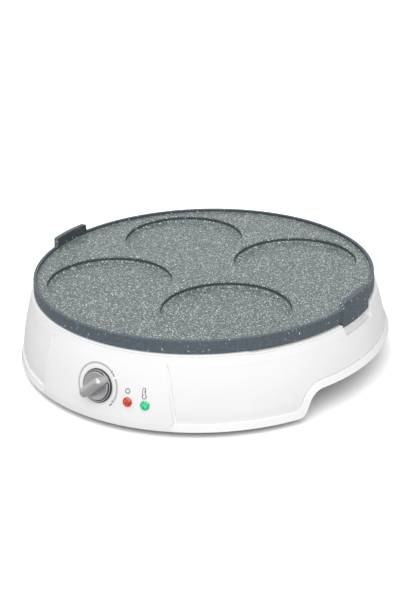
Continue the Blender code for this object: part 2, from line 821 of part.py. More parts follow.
def notch_outline():
    """Notch in the rim for a lug, across and up."""
    top = RIM_Z + OVERRUN
    floor = LEDGE_Z
    inner = NOTCH_FLOOR_HALF_WIDTH - NOTCH_CORNER
    outline = [(NOTCH_TOP_HALF_WIDTH, top), (-NOTCH_TOP_HALF_WIDTH, top)]
    outline += arc((-inner, floor + NOTCH_CORNER), NOTCH_CORNER, 180, 270, CORNER_STEPS)
    outline += arc((inner, floor + NOTCH_CORNER), NOTCH_CORNER, 270, 360, CORNER_STEPS)
    return outline


def side_prism(name, outline, inner, outer):
    """Outline across and up, extruded outwards along +X between two distances."""
    frame = Matrix.Translation(((inner + outer) / 2, 0, 0)) @ turn(90) @ turn(90, "X")
    return copies(prism(name, outline, outer - inner), [frame])


def screen_mesh():
    """Low wall behind a notch, which closes the inside off from view."""
    low = LEDGE_Z - LEDGE_HEIGHT / 2
    high = LEDGE_Z + SCREEN_HEIGHT
    outline = arc((0, 0), SCREEN_RADIUS, -SCREEN_HALF_DEG, SCREEN_HALF_DEG, SMALL_STEPS)
    inner = SCREEN_RADIUS - SCREEN_WALL
    outline += arc((0, 0), inner, SCREEN_HALF_DEG, -SCREEN_HALF_DEG, SMALL_STEPS)
    return copies(prism("screen", outline, high - low), [shift(0, 0, (low + high) / 2)])


def build_base_shell(root):
    """Outer housing with its ledge, screw posts, notches and holes."""
    half = grid_mesh("base_half", [wall_column(column) for column in half_columns()])
    shell = part("base_shell", mirrored_sheet("base_half", half, WALL, -1), "white_plastic", root)

    wall_middle = wall_radius(LEDGE_Z) - EMBED
    ledge_low = LEDGE_Z - LEDGE_HEIGHT
    ledge_profile = [
        (LEDGE_RADIUS, LEDGE_Z),
        (wall_middle, LEDGE_Z),
        (wall_middle, ledge_low),
        (LEDGE_RADIUS, ledge_low),
    ]
    ledge = turned("ledge", ledge_profile, DISC_STEPS, closed=True)
    combine(shell, tool("ledge", ledge, root), "UNION")

    inside = ledge_low + LEDGE_HEIGHT / 2
    post_frames = [at_polar(POST_CIRCLE, deg, 0) for deg in POST_ANGLES.values()]
    boss_frames = [at_polar(SHIELD_SCREW_CIRCLE, deg, 0) for deg in SHIELD_SCREW_ANGLES.values()]
    posts = rods("post", POST_RADIUS, COVER_TOP_Z + SEAT_GAP, inside, post_frames)
    boss_low = LEDGE_Z - SHIELD_BOSS_DEPTH
    bosses = rods("boss", SHIELD_BOSS_RADIUS, boss_low, inside, boss_frames)
    combine(shell, tool("posts_and_bosses", joined([posts, bosses]), root), "UNION")

    notch_inner = LUG_OUTER_RADIUS - LUG_THICKNESS - WALL
    notch = side_prism("notch", notch_outline(), notch_inner, FLANGE_RADIUS)
    notches = copies(notch, [Matrix(), turn(180)])
    combine(shell, tool("lug_notches", notches, root), "DIFFERENCE")
    screens = copies(screen_mesh(), [Matrix(), turn(180)])
    combine(shell, tool("notch_screens", screens, root), "UNION")

    bore_radius = SCREW_RADIUS + BORE_SLIP
    post_bore_high = COVER_BOTTOM_Z + COVER_SCREW_LENGTH + BORE_SLIP
    post_bores = rods("post_bore", bore_radius, FOOT_RISE, post_bore_high, post_frames)
    boss_bore_low = SHIELD_FLANGE_Z + SEAT_GAP - SHIELD_SCREW_LENGTH - BORE_SLIP
    boss_bore_high = LEDGE_Z + OVERRUN
    boss_bores = rods("boss_bore", bore_radius, boss_bore_low, boss_bore_high, boss_frames)
    low = -OVERRUN - WALL
    screw_frames = [KNOB_FRAME @ shift(side * PANEL_SCREW_OFFSET, 0, 0) for side in SIDES]
    panel_holes = rods("panel_screw_hole", bore_radius, low, OVERRUN, screw_frames)
    wide_holes = []
    for name, radius, frames in (
        ("neck_hole", NECK_RADIUS, [KNOB_FRAME]),
        ("lamp_hole", LENS_STEM_RADIUS, [RED_FRAME, GREEN_FRAME]),
        ("gland_hole", GLAND_NECK_RADIUS, [GLAND_FRAME]),
    ):
        wide_holes.append(rods(name, radius + BORE_SLIP, low, OVERRUN, frames, ROUND_STEPS))
    holes = joined([post_bores, boss_bores, panel_holes] + wide_holes)
    combine(shell, tool("housing_holes", holes, root), "DIFFERENCE")


def cover_column(column):
    """Top face of the bottom cover along one angle, from its flat core to its edge."""
    low_deg, top_deg, rise, slope, on_panel = column
    edge_radius = wall_radius(COVER_TOP_Z + rise) + FLANGE_PROUD - WALL - COVER_PLAY
    points = []
    for share in COVER_RING_SHARES:
        radius = COVER_CORE_RADIUS + (COVER_RAMP_RADIUS - COVER_CORE_RADIUS) * share
        points.append(polar(radius, low_deg, COVER_TOP_Z))
    for share in COVER_RAMP_SHARES:
        radius = COVER_RAMP_RADIUS + (edge_radius - COVER_RAMP_RADIUS) * share
        ease = share * share * (3 - 2 * share)
        points.append(polar(radius, low_deg, COVER_TOP_Z + rise * ease))
    return points


def build_bottom_cover(root):
    """Bottom cover, raised with the housing's edge in both scoops."""
    columns = [cover_column(column) for column in half_columns()]
    half = grid_mesh("cover_half", columns, flip=True)
    work = bmesh.new()
    work.from_mesh(half)
    rows = len(columns[0])
    work.verts.ensure_lookup_table()
    core = [work.verts[c * rows] for c in range(len(columns))]
    work.faces.new(core)
    bmesh.ops.recalc_face_normals(work, faces=work.faces)
    work.to_mesh(half)
    work.free()
    if half.polygons[0].normal.z < 0:
        half.flip_normals()
    sheet = mirrored_sheet("cover_half", half, COVER_SHEET, -1)
    cover = part("bottom_cover", sheet, "grey_plastic", root)

    low = COVER_BOTTOM_Z - OVERRUN
    high = COVER_TOP_Z + OVERRUN
    screw_radius = SCREW_RADIUS + BORE_SLIP
    screw_frames = [at_polar(POST_CIRCLE, deg, 0) for deg in POST_ANGLES.values()]
    stem_frames = [at_polar(FOOT_CIRCLE, deg, 0) for deg in FOOT_ANGLES.values()]
    block_frames = [shift(side * BLOCK_SCREW_X, BLOCK_Y, 0) for side in SIDES]
    screw_holes = rods("cover_screw_hole", screw_radius, low, high, screw_frames)
    stem_holes = rods("stem_hole", FOOT_STEM_RADIUS + BORE_SLIP, low, high, stem_frames)
    block_holes = rods("block_hole", screw_radius, low, high, block_frames)
    vent_low = (-VENT_LENGTH / 2, -VENT_WIDTH / 2, low)
    vent_high = (VENT_LENGTH / 2, VENT_WIDTH / 2, high)
    first = -VENT_PITCH * (VENT_COUNT - 1) / 2
    vent_frames = [shift(0, first + VENT_PITCH * i, 0) for i in range(VENT_COUNT)]
    vents = copies(block("vent", vent_low, vent_high), vent_frames)
    holes = joined([screw_holes, stem_holes, block_holes, vents])
    combine(cover, tool("cover_holes", holes, root), "DIFFERENCE")


def build_feet_and_screws(root):
    """Four rubber feet pushed into the cover, and the screws that hold the cover."""
    shoulder = COVER_BOTTOM_Z - SEAT_GAP
    profile = [
        (0, COVER_TOP_Z + FOOT_STEM_TOP),
        (FOOT_STEM_RADIUS, COVER_TOP_Z + FOOT_STEM_TOP),
        (FOOT_STEM_RADIUS, shoulder),
        (FOOT_RADIUS, shoulder),
        (FOOT_RADIUS, FOOT_CHAMFER),
        (FOOT_RADIUS - FOOT_CHAMFER, 0),
        (0, 0),
    ]
    for corner, degrees in FOOT_ANGLES.items():
        mesh = turned("foot", profile, ROUND_STEPS)
        part("foot_" + corner, mesh, "rubber", root, at_polar(FOOT_CIRCLE, degrees, 0))

    screw = pan_screw("cover_screw", SCREW_HEAD_RADIUS, COVER_SCREW_LENGTH)
    places = {}
    for corner, degrees in POST_ANGLES.items():
        places[corner] = at_polar(POST_CIRCLE, degrees, shoulder) @ turn(180, "X")
    repeated("cover_screw", screw, "steel", root, places)


# Heat shield and what it carries


def build_heat_shield(root):
    """Pressed heat shield on the housing's ledge, with its screws."""
    profile = [
        (0, SHIELD_FLOOR_Z),
        (SHIELD_FLOOR_RADIUS, SHIELD_FLOOR_Z),
        (LEDGE_RADIUS - SHIELD_LIP, SHIELD_FLANGE_Z),
        (SHIELD_RADIUS, SHIELD_FLANGE_Z),
    ]
    dish = dished("shield", profile, DISC_STEPS, SHIELD_SHEET)
    shield = part("heat_shield", dish, "aluminium", root)

    low = SHIELD_UNDER_Z - OVERRUN
    high = SHIELD_FLOOR_Z + OVERRUN
    flange_high = SHIELD_FLANGE_Z + OVERRUN
    bore_radius = SCREW_RADIUS + BORE_SLIP
    screw_frames = [at_polar(SHIELD_SCREW_CIRCLE, deg, 0) for deg in SHIELD_SCREW_ANGLES.values()]
    screw_holes = rods("shield_screw_hole", bore_radius, low, flange_high, screw_frames)
    leg_radius = ELEMENT_RADIUS + RIVET_SLIP
    leg_frames = [Matrix.Translation(leg_place(side)) for side in SIDES]
    leg_holes = rods("leg_hole", leg_radius, low, high, leg_frames, ROUND_STEPS)
    capillary_frames = [shift(CAPILLARY_HOLE_X, 0, 0)]
    capillary = rods("capillary_hole", CAPILLARY_HOLE_RADIUS, low, high, capillary_frames)
    earth = rods("earth_hole", bore_radius, low, high, [shift(TAG_X, TAG_Y, 0)])
    holes = joined([screw_holes, leg_holes, capillary, earth])
    combine(shield, tool("shield_holes", holes, root), "DIFFERENCE")

    screw = pan_screw("shield_screw", SCREW_HEAD_RADIUS, SHIELD_SCREW_LENGTH)
    seat = SHIELD_FLANGE_Z + SEAT_GAP
    places = {}
    for corner, degrees in SHIELD_SCREW_ANGLES.items():
        places[corner] = at_polar(SHIELD_SCREW_CIRCLE, degrees, seat)
    repeated("shield_screw", screw, "steel", root, places)


def leg_place(side):
    """Where a leg of the heating element stands, seen from above."""
    ring_y = math.sqrt(ELEMENT_CIRCLE**2 - (ELEMENT_GAP_HALF_WIDTH + ELEMENT_BEND) ** 2)
    tangent_drop = ELEMENT_BEND * (ELEMENT_GAP_HALF_WIDTH + ELEMENT_BEND) / ELEMENT_CIRCLE
    reach = ELEMENT_BEND * ring_y / ELEMENT_CIRCLE
    x = ELEMENT_GAP_HALF_WIDTH + ELEMENT_BEND - reach
    return Vector((side * x, ring_y + tangent_drop, 0))


def element_path():
    """Centre line of the tube: up one leg, round the ring and down the other."""
    gap_deg = math.degrees(math.asin((ELEMENT_GAP_HALF_WIDTH + ELEMENT_BEND) / ELEMENT_CIRCLE))
    right = leg_place(1)
    left = leg_place(-1)
    bend_low = ELEMENT_Z - ELEMENT_BEND
    start = polar(ELEMENT_CIRCLE, REAR_DEG - gap_deg, ELEMENT_Z)
    end = polar(ELEMENT_CIRCLE, REAR_DEG + gap_deg, ELEMENT_Z)
    path = [Vector((right.x, right.y, LEG_BOTTOM_Z))]
    for i in range(ELEMENT_BEND_STEPS):
        a = math.pi / 2 * i / ELEMENT_BEND_STEPS
        flat = right.lerp(start, 1 - math.cos(a))
        path.append(Vector((flat.x, flat.y, bend_low + ELEMENT_BEND * math.sin(a))))
    sweep = 360 - 2 * gap_deg
    for i in range(ELEMENT_RING_STEPS + 1):
        degrees = REAR_DEG - gap_deg - sweep * i / ELEMENT_RING_STEPS
        path.append(polar(ELEMENT_CIRCLE, degrees, ELEMENT_Z))
    for i in reversed(range(ELEMENT_BEND_STEPS)):
        a = math.pi / 2 * i / ELEMENT_BEND_STEPS
        flat = left.lerp(end, 1 - math.cos(a))
        path.append(Vector((flat.x, flat.y, bend_low + ELEMENT_BEND * math.sin(a))))
    path.append(Vector((left.x, left.y, LEG_BOTTOM_Z)))
    return path


def build_heating_element(root):
    """Tubular element with its clips, ceramic beads and terminal pins."""
    part("heating_element", tube("element", element_path(), ELEMENT_RADIUS), "steel", root)

    foot = SHIELD_FLOOR_Z + SEAT_GAP
    groove = ELEMENT_RADIUS + SEAT_GAP
    ear_z = ELEMENT_Z + CLIP_EAR
    ear_deg = math.degrees(math.asin(CLIP_EAR / groove))
    outline = [(-CLIP_HALF_WIDTH, foot), (CLIP_HALF_WIDTH, foot), (CLIP_HALF_WIDTH, ear_z)]
    outline += arc((0, ELEMENT_Z), groove, ear_deg, -180 - ear_deg, SMALL_STEPS)
    outline.append((-CLIP_HALF_WIDTH, ear_z))
    upright = turn(90, "X")
    clip = prism("clip", outline, CLIP_WIDTH)
    step = 360 / CLIP_COUNT
    places = {}
    for i in range(CLIP_COUNT):
        frame = turn(CLIP_FIRST_DEG + step * i) @ shift(ELEMENT_CIRCLE, 0, 0) @ upright
        places[str(i + 1)] = frame
    repeated("element_clip", clip, "steel", root, places)

    top = LEG_BOTTOM_Z - SEAT_GAP
    bead_profile = [
        (PIN_RADIUS + BORE_SLIP, top),
        (BEAD_RADIUS, top),
        (BEAD_RADIUS, top - BEAD_LENGTH),
        (PIN_RADIUS + BORE_SLIP, top - BEAD_LENGTH),
    ]
    bead = turned("bead", bead_profile, SMALL_STEPS, closed=True)
    pin = rod("pin", PIN_RADIUS, top - BEAD_LENGTH - PIN_DROP, top)
    places = {name: Matrix.Translation(leg_place(side)) for name, side in SIDE_NAMES.items()}
    repeated("terminal_bead", bead, "ceramic", root, places)
    repeated("terminal_pin", pin, "steel", root, places)


def build_sensor(root):
    """Sensing bulb on its bracket, with the capillary down to the thermostat."""
    bulb_z = PLATE_WEB_Z - SEAT_GAP - BULB_RADIUS
    lying = turn(90, "Y")
    bulb = rod("bulb", BULB_RADIUS, -BULB_LENGTH / 2, BULB_LENGTH / 2)
    part("sensor_bulb", bulb, "copper", root, shift(0, 0, bulb_z) @ lying)

    foot = SHIELD_FLOOR_Z + SEAT_GAP
    deck = bulb_z - BULB_RADIUS - SEAT_GAP - BRACKET_SHEET
    path = [
        (-BULB_BRACKET_HALF_WIDTH - BULB_BRACKET_FOOT, foot),
        (-BULB_BRACKET_HALF_WIDTH, foot),
        (-BULB_BRACKET_HALF_WIDTH, deck),
        (BULB_BRACKET_HALF_WIDTH, deck),
        (BULB_BRACKET_HALF_WIDTH, foot),
        (BULB_BRACKET_HALF_WIDTH + BULB_BRACKET_FOOT, foot),
    ]
    bracket = strip("sensor_bracket", path, BULB_BRACKET_WIDTH, BRACKET_SHEET)
    part("sensor_bracket", bracket, "steel", root)

    start = Vector((BULB_LENGTH / 2 + SEAT_GAP, 0, bulb_z))
    outlet = (THERMOSTAT_HALF_WIDTH / 2, THERMOSTAT_HALF_HEIGHT / 2, thermostat_rear())
    end = KNOB_FRAME @ Vector(outlet)
    inward = -KNOB_FRAME.col[2].to_3d()
    route = smooth_route(with_tails(start, (1, 0, 0), CAPILLARY_ROUTE, end, inward))
    part("capillary_tube", tube("capillary", route, CAPILLARY_RADIUS, WIRE_SIDES), "copper", root)


def build_fuse_and_earth(root):
    """Thermal fuse strapped under the heat shield, and the earth tag beside it."""
    lying = turn(90, "X")
    fuse = rod("fuse", FUSE_RADIUS, -FUSE_LENGTH / 2, FUSE_LENGTH / 2)
    part("thermal_fuse", fuse, "ceramic", root, shift(FUSE_X, FUSE_Y, FUSE_Z) @ lying)

    top = SHIELD_UNDER_Z - SEAT_GAP
    cradle = FUSE_RADIUS + SEAT_GAP
    low = FUSE_Z - cradle
    path = [
        (cradle + FUSE_STRAP_FOOT, top),
        (cradle, top),
        (cradle, low),
        (-cradle, low),
        (-cradle, top),
        (-cradle - FUSE_STRAP_FOOT, top),
    ]
    strap = strip("fuse_strap", path, FUSE_STRAP_WIDTH, FUSE_STRAP_SHEET)
    part("fuse_strap", strap, "steel", root, shift(FUSE_X, FUSE_Y, 0))

    tag_top = SHIELD_UNDER_Z - SEAT_GAP
    tag = block(
        "earth_tag",
        (-TAG_HALF_WIDTH, -TAG_HALF_WIDTH, tag_top - TAG_SHEET),
        (TAG_HALF_WIDTH, TAG_LENGTH - TAG_HALF_WIDTH, tag_top),
    )
    tag_part = part("earth_tag", tag, "brass", root, shift(TAG_X, TAG_Y, 0))
    hole = rod("tag_hole", SCREW_RADIUS + BORE_SLIP, tag_top - OVERRUN, tag_top + OVERRUN)
    combine(tag_part, tool("tag_hole", hole, root, shift(TAG_X, TAG_Y, 0)), "DIFFERENCE")
    screw = pan_screw("earth_screw", SCREW_HEAD_RADIUS, EARTH_SCREW_LENGTH)
    seat = tag_top - TAG_SHEET - SEAT_GAP
    part("earth_screw", screw, "brass", root, shift(TAG_X, TAG_Y, seat) @ turn(180, "X"))


# Plate


def recess_profile():
    """Recess with a rounded lip and a fillet round its floor."""
    floor = PLATE_COOK_Z - RECESS_DEPTH
    inner = RECESS_RADIUS - RECESS_LIP
    profile = [
        (0, PLATE_COOK_Z + OVERRUN),
        (RECESS_RADIUS, PLATE_COOK_Z + OVERRUN),
        (RECESS_RADIUS, PLATE_COOK_Z),
        (inner, PLATE_COOK_Z - RECESS_LIP),
    ]
    centre = (inner - RECESS_FILLET, floor + RECESS_FILLET)
    profile += arc(centre, RECESS_FILLET, 0, -90, CORNER_STEPS)
    profile.append((0, floor))
    return profile


def lug_outline():
    """Lifting lug seen from the side: widest at the foot, with rounded corners."""
    top = LUG_TOP_HALF_WIDTH - LUG_CORNER
    low = LUG_BOTTOM_HALF_WIDTH - LUG_CORNER
    outline = arc((top, LUG_TOP_Z - LUG_CORNER), LUG_CORNER, 0, 90, CORNER_STEPS)
    outline += arc((-top, LUG_TOP_Z - LUG_CORNER), LUG_CORNER, 90, 180, CORNER_STEPS)
    outline += arc((-low, LUG_BOTTOM_Z + LUG_CORNER), LUG_CORNER, 180, 270, CORNER_STEPS)
    outline += arc((low, LUG_BOTTOM_Z + LUG_CORNER), LUG_CORNER, 270, 360, CORNER_STEPS)
    return outline


def lug_mesh(root):
    """Both lugs, cut out of a curved band."""
    inner = LUG_OUTER_RADIUS - LUG_THICKNESS
    low = LUG_BOTTOM_Z - OVERRUN
    high = LUG_TOP_Z + OVERRUN
    profile = [(inner, high), (LUG_OUTER_RADIUS, high), (LUG_OUTER_RADIUS, low), (inner, low)]
    band = tool("lug_band", turned("lug_band", profile, DISC_STEPS, closed=True), root)
    right = side_prism("lug", lug_outline(), inner - LUG_THICKNESS, LUG_OUTER_RADIUS + OVERRUN)
    sides = tool("lug_sides", copies(right, [Matrix(), turn(180)]), root)
    combine(band, sides, "INTERSECT")
    return band


def plate_feet():
    """Short cast feet under the band that stand on the heat shield."""
    low = SHIELD_FLANGE_Z + SEAT_GAP
    high = PLATE_WEB_Z + EMBED
    half_deg = PLATE_FOOT_HALF_DEG
    outline = arc((0, 0), PLATE_FOOT_OUTER, -half_deg, half_deg, CORNER_STEPS)
    outline += arc((0, 0), PLATE_FOOT_INNER, half_deg, -half_deg, CORNER_STEPS)
    foot = prism("plate_foot", outline, high - low)
    middle = (low + high) / 2
    return copies(foot, [turn(deg) @ shift(0, 0, middle) for deg in PLATE_FOOT_ANGLES.values()])


def build_griddle_plate(plate_axis):
    """Cast plate with its four recesses, band, feet and lifting lugs."""
    inner_top = PLATE_TOP_RADIUS - PLATE_BAND
    inner_low = PLATE_RADIUS - PLATE_BAND
    band_low = PLATE_RIM_Z - PLATE_BAND_HEIGHT
    rim_round = PLATE_RIM_ROUND
    profile = [
        (0, PLATE_COOK_Z),
        (inner_top, PLATE_COOK_Z),
        (inner_top, PLATE_RIM_Z - rim_round),
        (inner_top + rim_round, PLATE_RIM_Z),
        (PLATE_TOP_RADIUS - rim_round, PLATE_RIM_Z),
        (PLATE_TOP_RADIUS, PLATE_RIM_Z - rim_round),
        (PLATE_RADIUS, band_low),
        (inner_low, band_low),
        (inner_low, PLATE_WEB_Z),
        (0, PLATE_WEB_Z),
    ]
    disc = turned("plate", profile, DISC_STEPS)
    plate = part("griddle_plate", disc, "coated_casting", plate_axis)

    step = 360 / RECESS_COUNT
    frames = [at_polar(RECESS_CIRCLE, RECESS_FIRST_DEG + step * i, 0) for i in range(RECESS_COUNT)]
    cup = rod("cup", RECESS_RADIUS + CUP_WALL, CUP_BOTTOM_Z, PLATE_WEB_Z + EMBED, CUP_STEPS)
    below = joined([copies(cup, frames), plate_feet()])
    combine(plate, tool("cups_and_feet", below, plate_axis), "UNION")
    combine(plate, lug_mesh(plate_axis), "UNION")
    recess = turned("recess", recess_profile(), RECESS_STEPS)
    combine(plate, tool("recesses", copies(recess, frames), plate_axis), "DIFFERENCE")


# Knob, thermostat and lamps, each along its own panel axis


def edge_sag(reach):
    """How far the curved wall falls away from its tangent at a reach."""
    radius = wall_radius(KNOB_Z) - WALL
    return radius - math.sqrt(radius * radius - reach * reach)


def bridge_front():
    """Front face of the thermostat's bridge behind the curved panel."""
    return -WALL - edge_sag(BRIDGE_HALF_WIDTH) - 2 * SEAT_GAP


def thermostat_front():
    """Front face of the thermostat's body."""
    return bridge_front() - BRIDGE_SHEET - SEAT_GAP


def thermostat_rear():
    """Plane just behind the thermostat's body, where its leads end."""
    return thermostat_front() - THERMOSTAT_DEPTH - SEAT_GAP


def build_thermostat(mount_axis):
    """Thermostat, its bridge and its two screws behind the knob."""
    front = thermostat_front()
    low = (-THERMOSTAT_HALF_WIDTH, -THERMOSTAT_HALF_HEIGHT, front - THERMOSTAT_DEPTH)
    high = (THERMOSTAT_HALF_WIDTH, THERMOSTAT_HALF_HEIGHT, front)
    body = part("thermostat_body", block("thermostat", low, high), "ceramic", mount_axis)
    neck = rod("neck", NECK_RADIUS, front - OVERRUN, -SEAT_GAP, ROUND_STEPS)
    combine(body, tool("thermostat_neck", neck, mount_axis), "UNION")
    screw_frames = [shift(side * PANEL_SCREW_OFFSET, 0, 0) for side in SIDES]
    screw_low = -PANEL_SCREW_LENGTH - OVERRUN
    screw_bores = rods("screw_bore", SCREW_RADIUS + BORE_SLIP, screw_low, 0, screw_frames)
    shaft_radius = SHAFT_RADIUS + BORE_SLIP
    shaft_bore = rod("shaft_bore", shaft_radius, -SHAFT_REAR - BORE_SLIP, OVERRUN, ROUND_STEPS)
    bores = joined([screw_bores, shaft_bore])
    combine(body, tool("thermostat_bores", bores, mount_axis), "DIFFERENCE")

    bridge_face = bridge_front()
    bridge_mesh = block(
        "bridge",
        (-BRIDGE_HALF_WIDTH, -BRIDGE_HALF_HEIGHT, bridge_face - BRIDGE_SHEET),
        (BRIDGE_HALF_WIDTH, BRIDGE_HALF_HEIGHT, bridge_face),
    )
    bridge = part("thermostat_bridge", bridge_mesh, "steel", mount_axis)
    neck_hole = rod("bridge_neck_hole", NECK_RADIUS + BORE_SLIP, front - OVERRUN, 0, ROUND_STEPS)
    holes = joined([neck_hole, screw_bores])
    combine(bridge, tool("bridge_holes", holes, mount_axis), "DIFFERENCE")

    screw = pan_screw("panel_screw", PANEL_HEAD_RADIUS, PANEL_SCREW_LENGTH)
    places = {}
    for name, side in SIDE_NAMES.items():
        places[name] = shift(side * PANEL_SCREW_OFFSET, 0, SEAT_GAP)
    repeated("thermostat_screw", screw, "steel", mount_axis, places)


def build_knob(knob_axis):
    """Control knob with its trim ring and the shaft it turns."""
    cavity_top = KNOB_BACK + KNOB_CAVITY
    profile = [
        (0, KNOB_FACE),
        (KNOB_RADIUS, KNOB_FACE),
        (KNOB_RADIUS, KNOB_BACK),
        (KNOB_CAVITY_RADIUS, KNOB_BACK),
        (KNOB_CAVITY_RADIUS, cavity_top),
        (KNOB_HUB_RADIUS, cavity_top),
        (KNOB_HUB_RADIUS, KNOB_BACK),
        (0, KNOB_BACK),
    ]
    disc = turned("knob", profile, KNOB_STEPS)
    knob = part("control_knob", disc, "silver_plastic", knob_axis)

    end_radius = GRIP_WIDTH / 2
    straight = GRIP_LENGTH / 2 - end_radius
    outline = arc((straight, 0), end_radius, -90, 90, GRIP_END_STEPS)
    outline += arc((-straight, 0), end_radius, 90, 270, GRIP_END_STEPS)
    grip_mesh = copies(
        prism("grip", outline, GRIP_TOP - GRIP_FOOT),
        [turn(GRIP_REST_DEG) @ shift(0, 0, (GRIP_TOP + GRIP_FOOT) / 2)],
    )
    grip = tool("grip", grip_mesh, knob_axis)
    bevel = grip.modifiers.new("Rounded grip", "BEVEL")
    bevel.width = GRIP_ROUND
    bevel.segments = CORNER_STEPS
    bevel.limit_method = "WEIGHT"
    weights = grip_mesh.attributes.new("bevel_weight_edge", "FLOAT", "EDGE")
    for edge in grip_mesh.edges:
        ends = [grip_mesh.vertices[v].co.z for v in edge.vertices]
        weights.data[edge.index].value = float(min(ends) > (GRIP_TOP + GRIP_FOOT) / 2)
    combine(knob, grip, "UNION")
    low = KNOB_BACK - OVERRUN
    high = SHAFT_TOP + SEAT_GAP
    bore = rod("knob_bore", SHAFT_RADIUS + BORE_SLIP, low, high, ROUND_STEPS)
    combine(knob, tool("knob_bore", bore, knob_axis), "DIFFERENCE")

    ring_inner = KNOB_RADIUS + SEAT_GAP
    ring_outer = ring_inner + RING_WIDTH
    ring_profile = [
        (ring_inner, KNOB_RING_TOP),
        (ring_outer - RING_WIDTH / 2, KNOB_RING_TOP),
        (ring_outer, KNOB_RING_TOP - RING_WIDTH / 2),
        (ring_outer, KNOB_BACK),
        (ring_inner, KNOB_BACK),
    ]
    ring = turned("ring", ring_profile, KNOB_STEPS, closed=True)
    part("knob_trim_ring", ring, "steel", knob_axis)
    shaft = rod("shaft", SHAFT_RADIUS, -SHAFT_REAR, SHAFT_TOP, ROUND_STEPS)
    part("thermostat_shaft", shaft, "steel", knob_axis)


def build_lamp(lens_name, neon_name, finish_name, axis):
    """Domed lens pushed into the panel, with the neon lamp inside its stem."""
    inner = LENS_STEM_RADIUS - LENS_WALL
    dome = []
    for i in range(LENS_DOME_STEPS + 1):
        a = math.pi / 2 * (1 - i / LENS_DOME_STEPS)
        radius = LENS_RADIUS * math.cos(a)
        dome.append((radius if i else 0, 2 * SEAT_GAP + LENS_HEIGHT * math.sin(a)))
    profile = dome + [
        (LENS_RADIUS, SEAT_GAP),
        (LENS_STEM_RADIUS, SEAT_GAP),
        (LENS_STEM_RADIUS, -LENS_STEM_DEPTH),
        (inner, -LENS_STEM_DEPTH),
        (inner, 0),
        (0, 0),
    ]
    part(lens_name, turned("lens", profile, ROUND_STEPS), finish_name, axis)
    neon_radius = inner - BORE_SLIP
    rear = -LENS_STEM_DEPTH - NEON_TAIL
    neon_profile = [
        (0, -SEAT_GAP),
        (neon_radius * NEON_TIP_SHARE, -SEAT_GAP),
        (neon_radius, -LENS_WALL - SEAT_GAP),
        (neon_radius, rear),
        (0, rear),
    ]
    part(neon_name, turned("neon", neon_profile, SMALL_STEPS), "glass", axis)


# Cord gland, terminal block and leads


def build_cord_gland(gland_axis):
    """Grommet that lines the cord's hole in the rear wall."""
    inner_face = -WALL - GLAND_WALL_PLAY
    profile = [
        (GLAND_BORE_RADIUS, GLAND_PROUD),
        (GLAND_FLANGE_RADIUS - BORE_SLIP, GLAND_PROUD),
        (GLAND_FLANGE_RADIUS, GLAND_PROUD - BORE_SLIP),
        (GLAND_FLANGE_RADIUS, SEAT_GAP),
        (GLAND_NECK_RADIUS, SEAT_GAP),
        (GLAND_NECK_RADIUS, inner_face),
        (GLAND_FLANGE_RADIUS, inner_face - edge_sag(GLAND_FLANGE_RADIUS)),
        (GLAND_FLANGE_RADIUS, inner_face - GLAND_REAR),
        (GLAND_BORE_RADIUS, inner_face - GLAND_REAR),
    ]
    gland = turned("gland", profile, ROUND_STEPS, closed=True)
    part("cord_gland", gland, "black_plastic", gland_axis)


def build_terminal_block(root):
    """Three-pole terminal block on the cover, with its fixing and clamp screws."""
    top = BLOCK_FLOOR_Z + BLOCK_HEIGHT
    low = (-BLOCK_HALF_WIDTH, BLOCK_Y - BLOCK_HALF_DEPTH, BLOCK_FLOOR_Z)
    high = (BLOCK_HALF_WIDTH, BLOCK_Y + BLOCK_HALF_DEPTH, top)
    body = part("terminal_block", block("terminal_block", low, high), "ceramic", root)
    poles = [BLOCK_POLE_PITCH * i for i in (-1, 0, 1)]
    bore_z = BLOCK_FLOOR_Z + BLOCK_BORE_RISE
    reach = BLOCK_HALF_DEPTH + OVERRUN
    wire_frames = [shift(x, BLOCK_Y, bore_z) @ turn(90, "X") for x in poles]
    wire_bores = rods("wire_bore", BLOCK_BORE_RADIUS, -reach, reach, wire_frames)
    fixing_radius = SCREW_RADIUS + BORE_SLIP
    fixing_frames = [shift(side * BLOCK_SCREW_X, BLOCK_Y, 0) for side in SIDES]
    fixing_low = BLOCK_FLOOR_Z - OVERRUN
    fixings = rods("fixing_bore", fixing_radius, fixing_low, top + OVERRUN, fixing_frames)
    clamp_radius = CLAMP_RADIUS + CLAMP_BORE_SLIP
    clamp_frames = [shift(x, BLOCK_Y, 0) for x in poles]
    clamp_bores = rods("clamp_bore", clamp_radius, bore_z, top + OVERRUN, clamp_frames)
    combine(body, tool("wire_bores", joined([wire_bores, fixings]), root), "DIFFERENCE")
    combine(body, tool("clamp_bores", clamp_bores, root), "DIFFERENCE")

    clamp_low = bore_z + BLOCK_BORE_RADIUS + SEAT_GAP
    clamp = rod("clamp", CLAMP_RADIUS, clamp_low, top - CLAMP_TOP_DROP)
    places = {str(i + 1): frame for i, frame in enumerate(clamp_frames)}
    repeated("clamp_screw", clamp, "brass", root, places)
    length = BLOCK_HEIGHT + 2 * SEAT_GAP + COVER_SHEET / 2
    head_radius = BLOCK_POLE_PITCH - BLOCK_SCREW_X - CLAMP_RADIUS - 2 * SEAT_GAP
    screw = pan_screw("block_screw", head_radius, length)
    places = {}
    for name, side in SIDE_NAMES.items():
        places[name] = shift(side * BLOCK_SCREW_X, BLOCK_Y, top + SEAT_GAP)
    repeated("block_screw", screw, "steel", root, places)


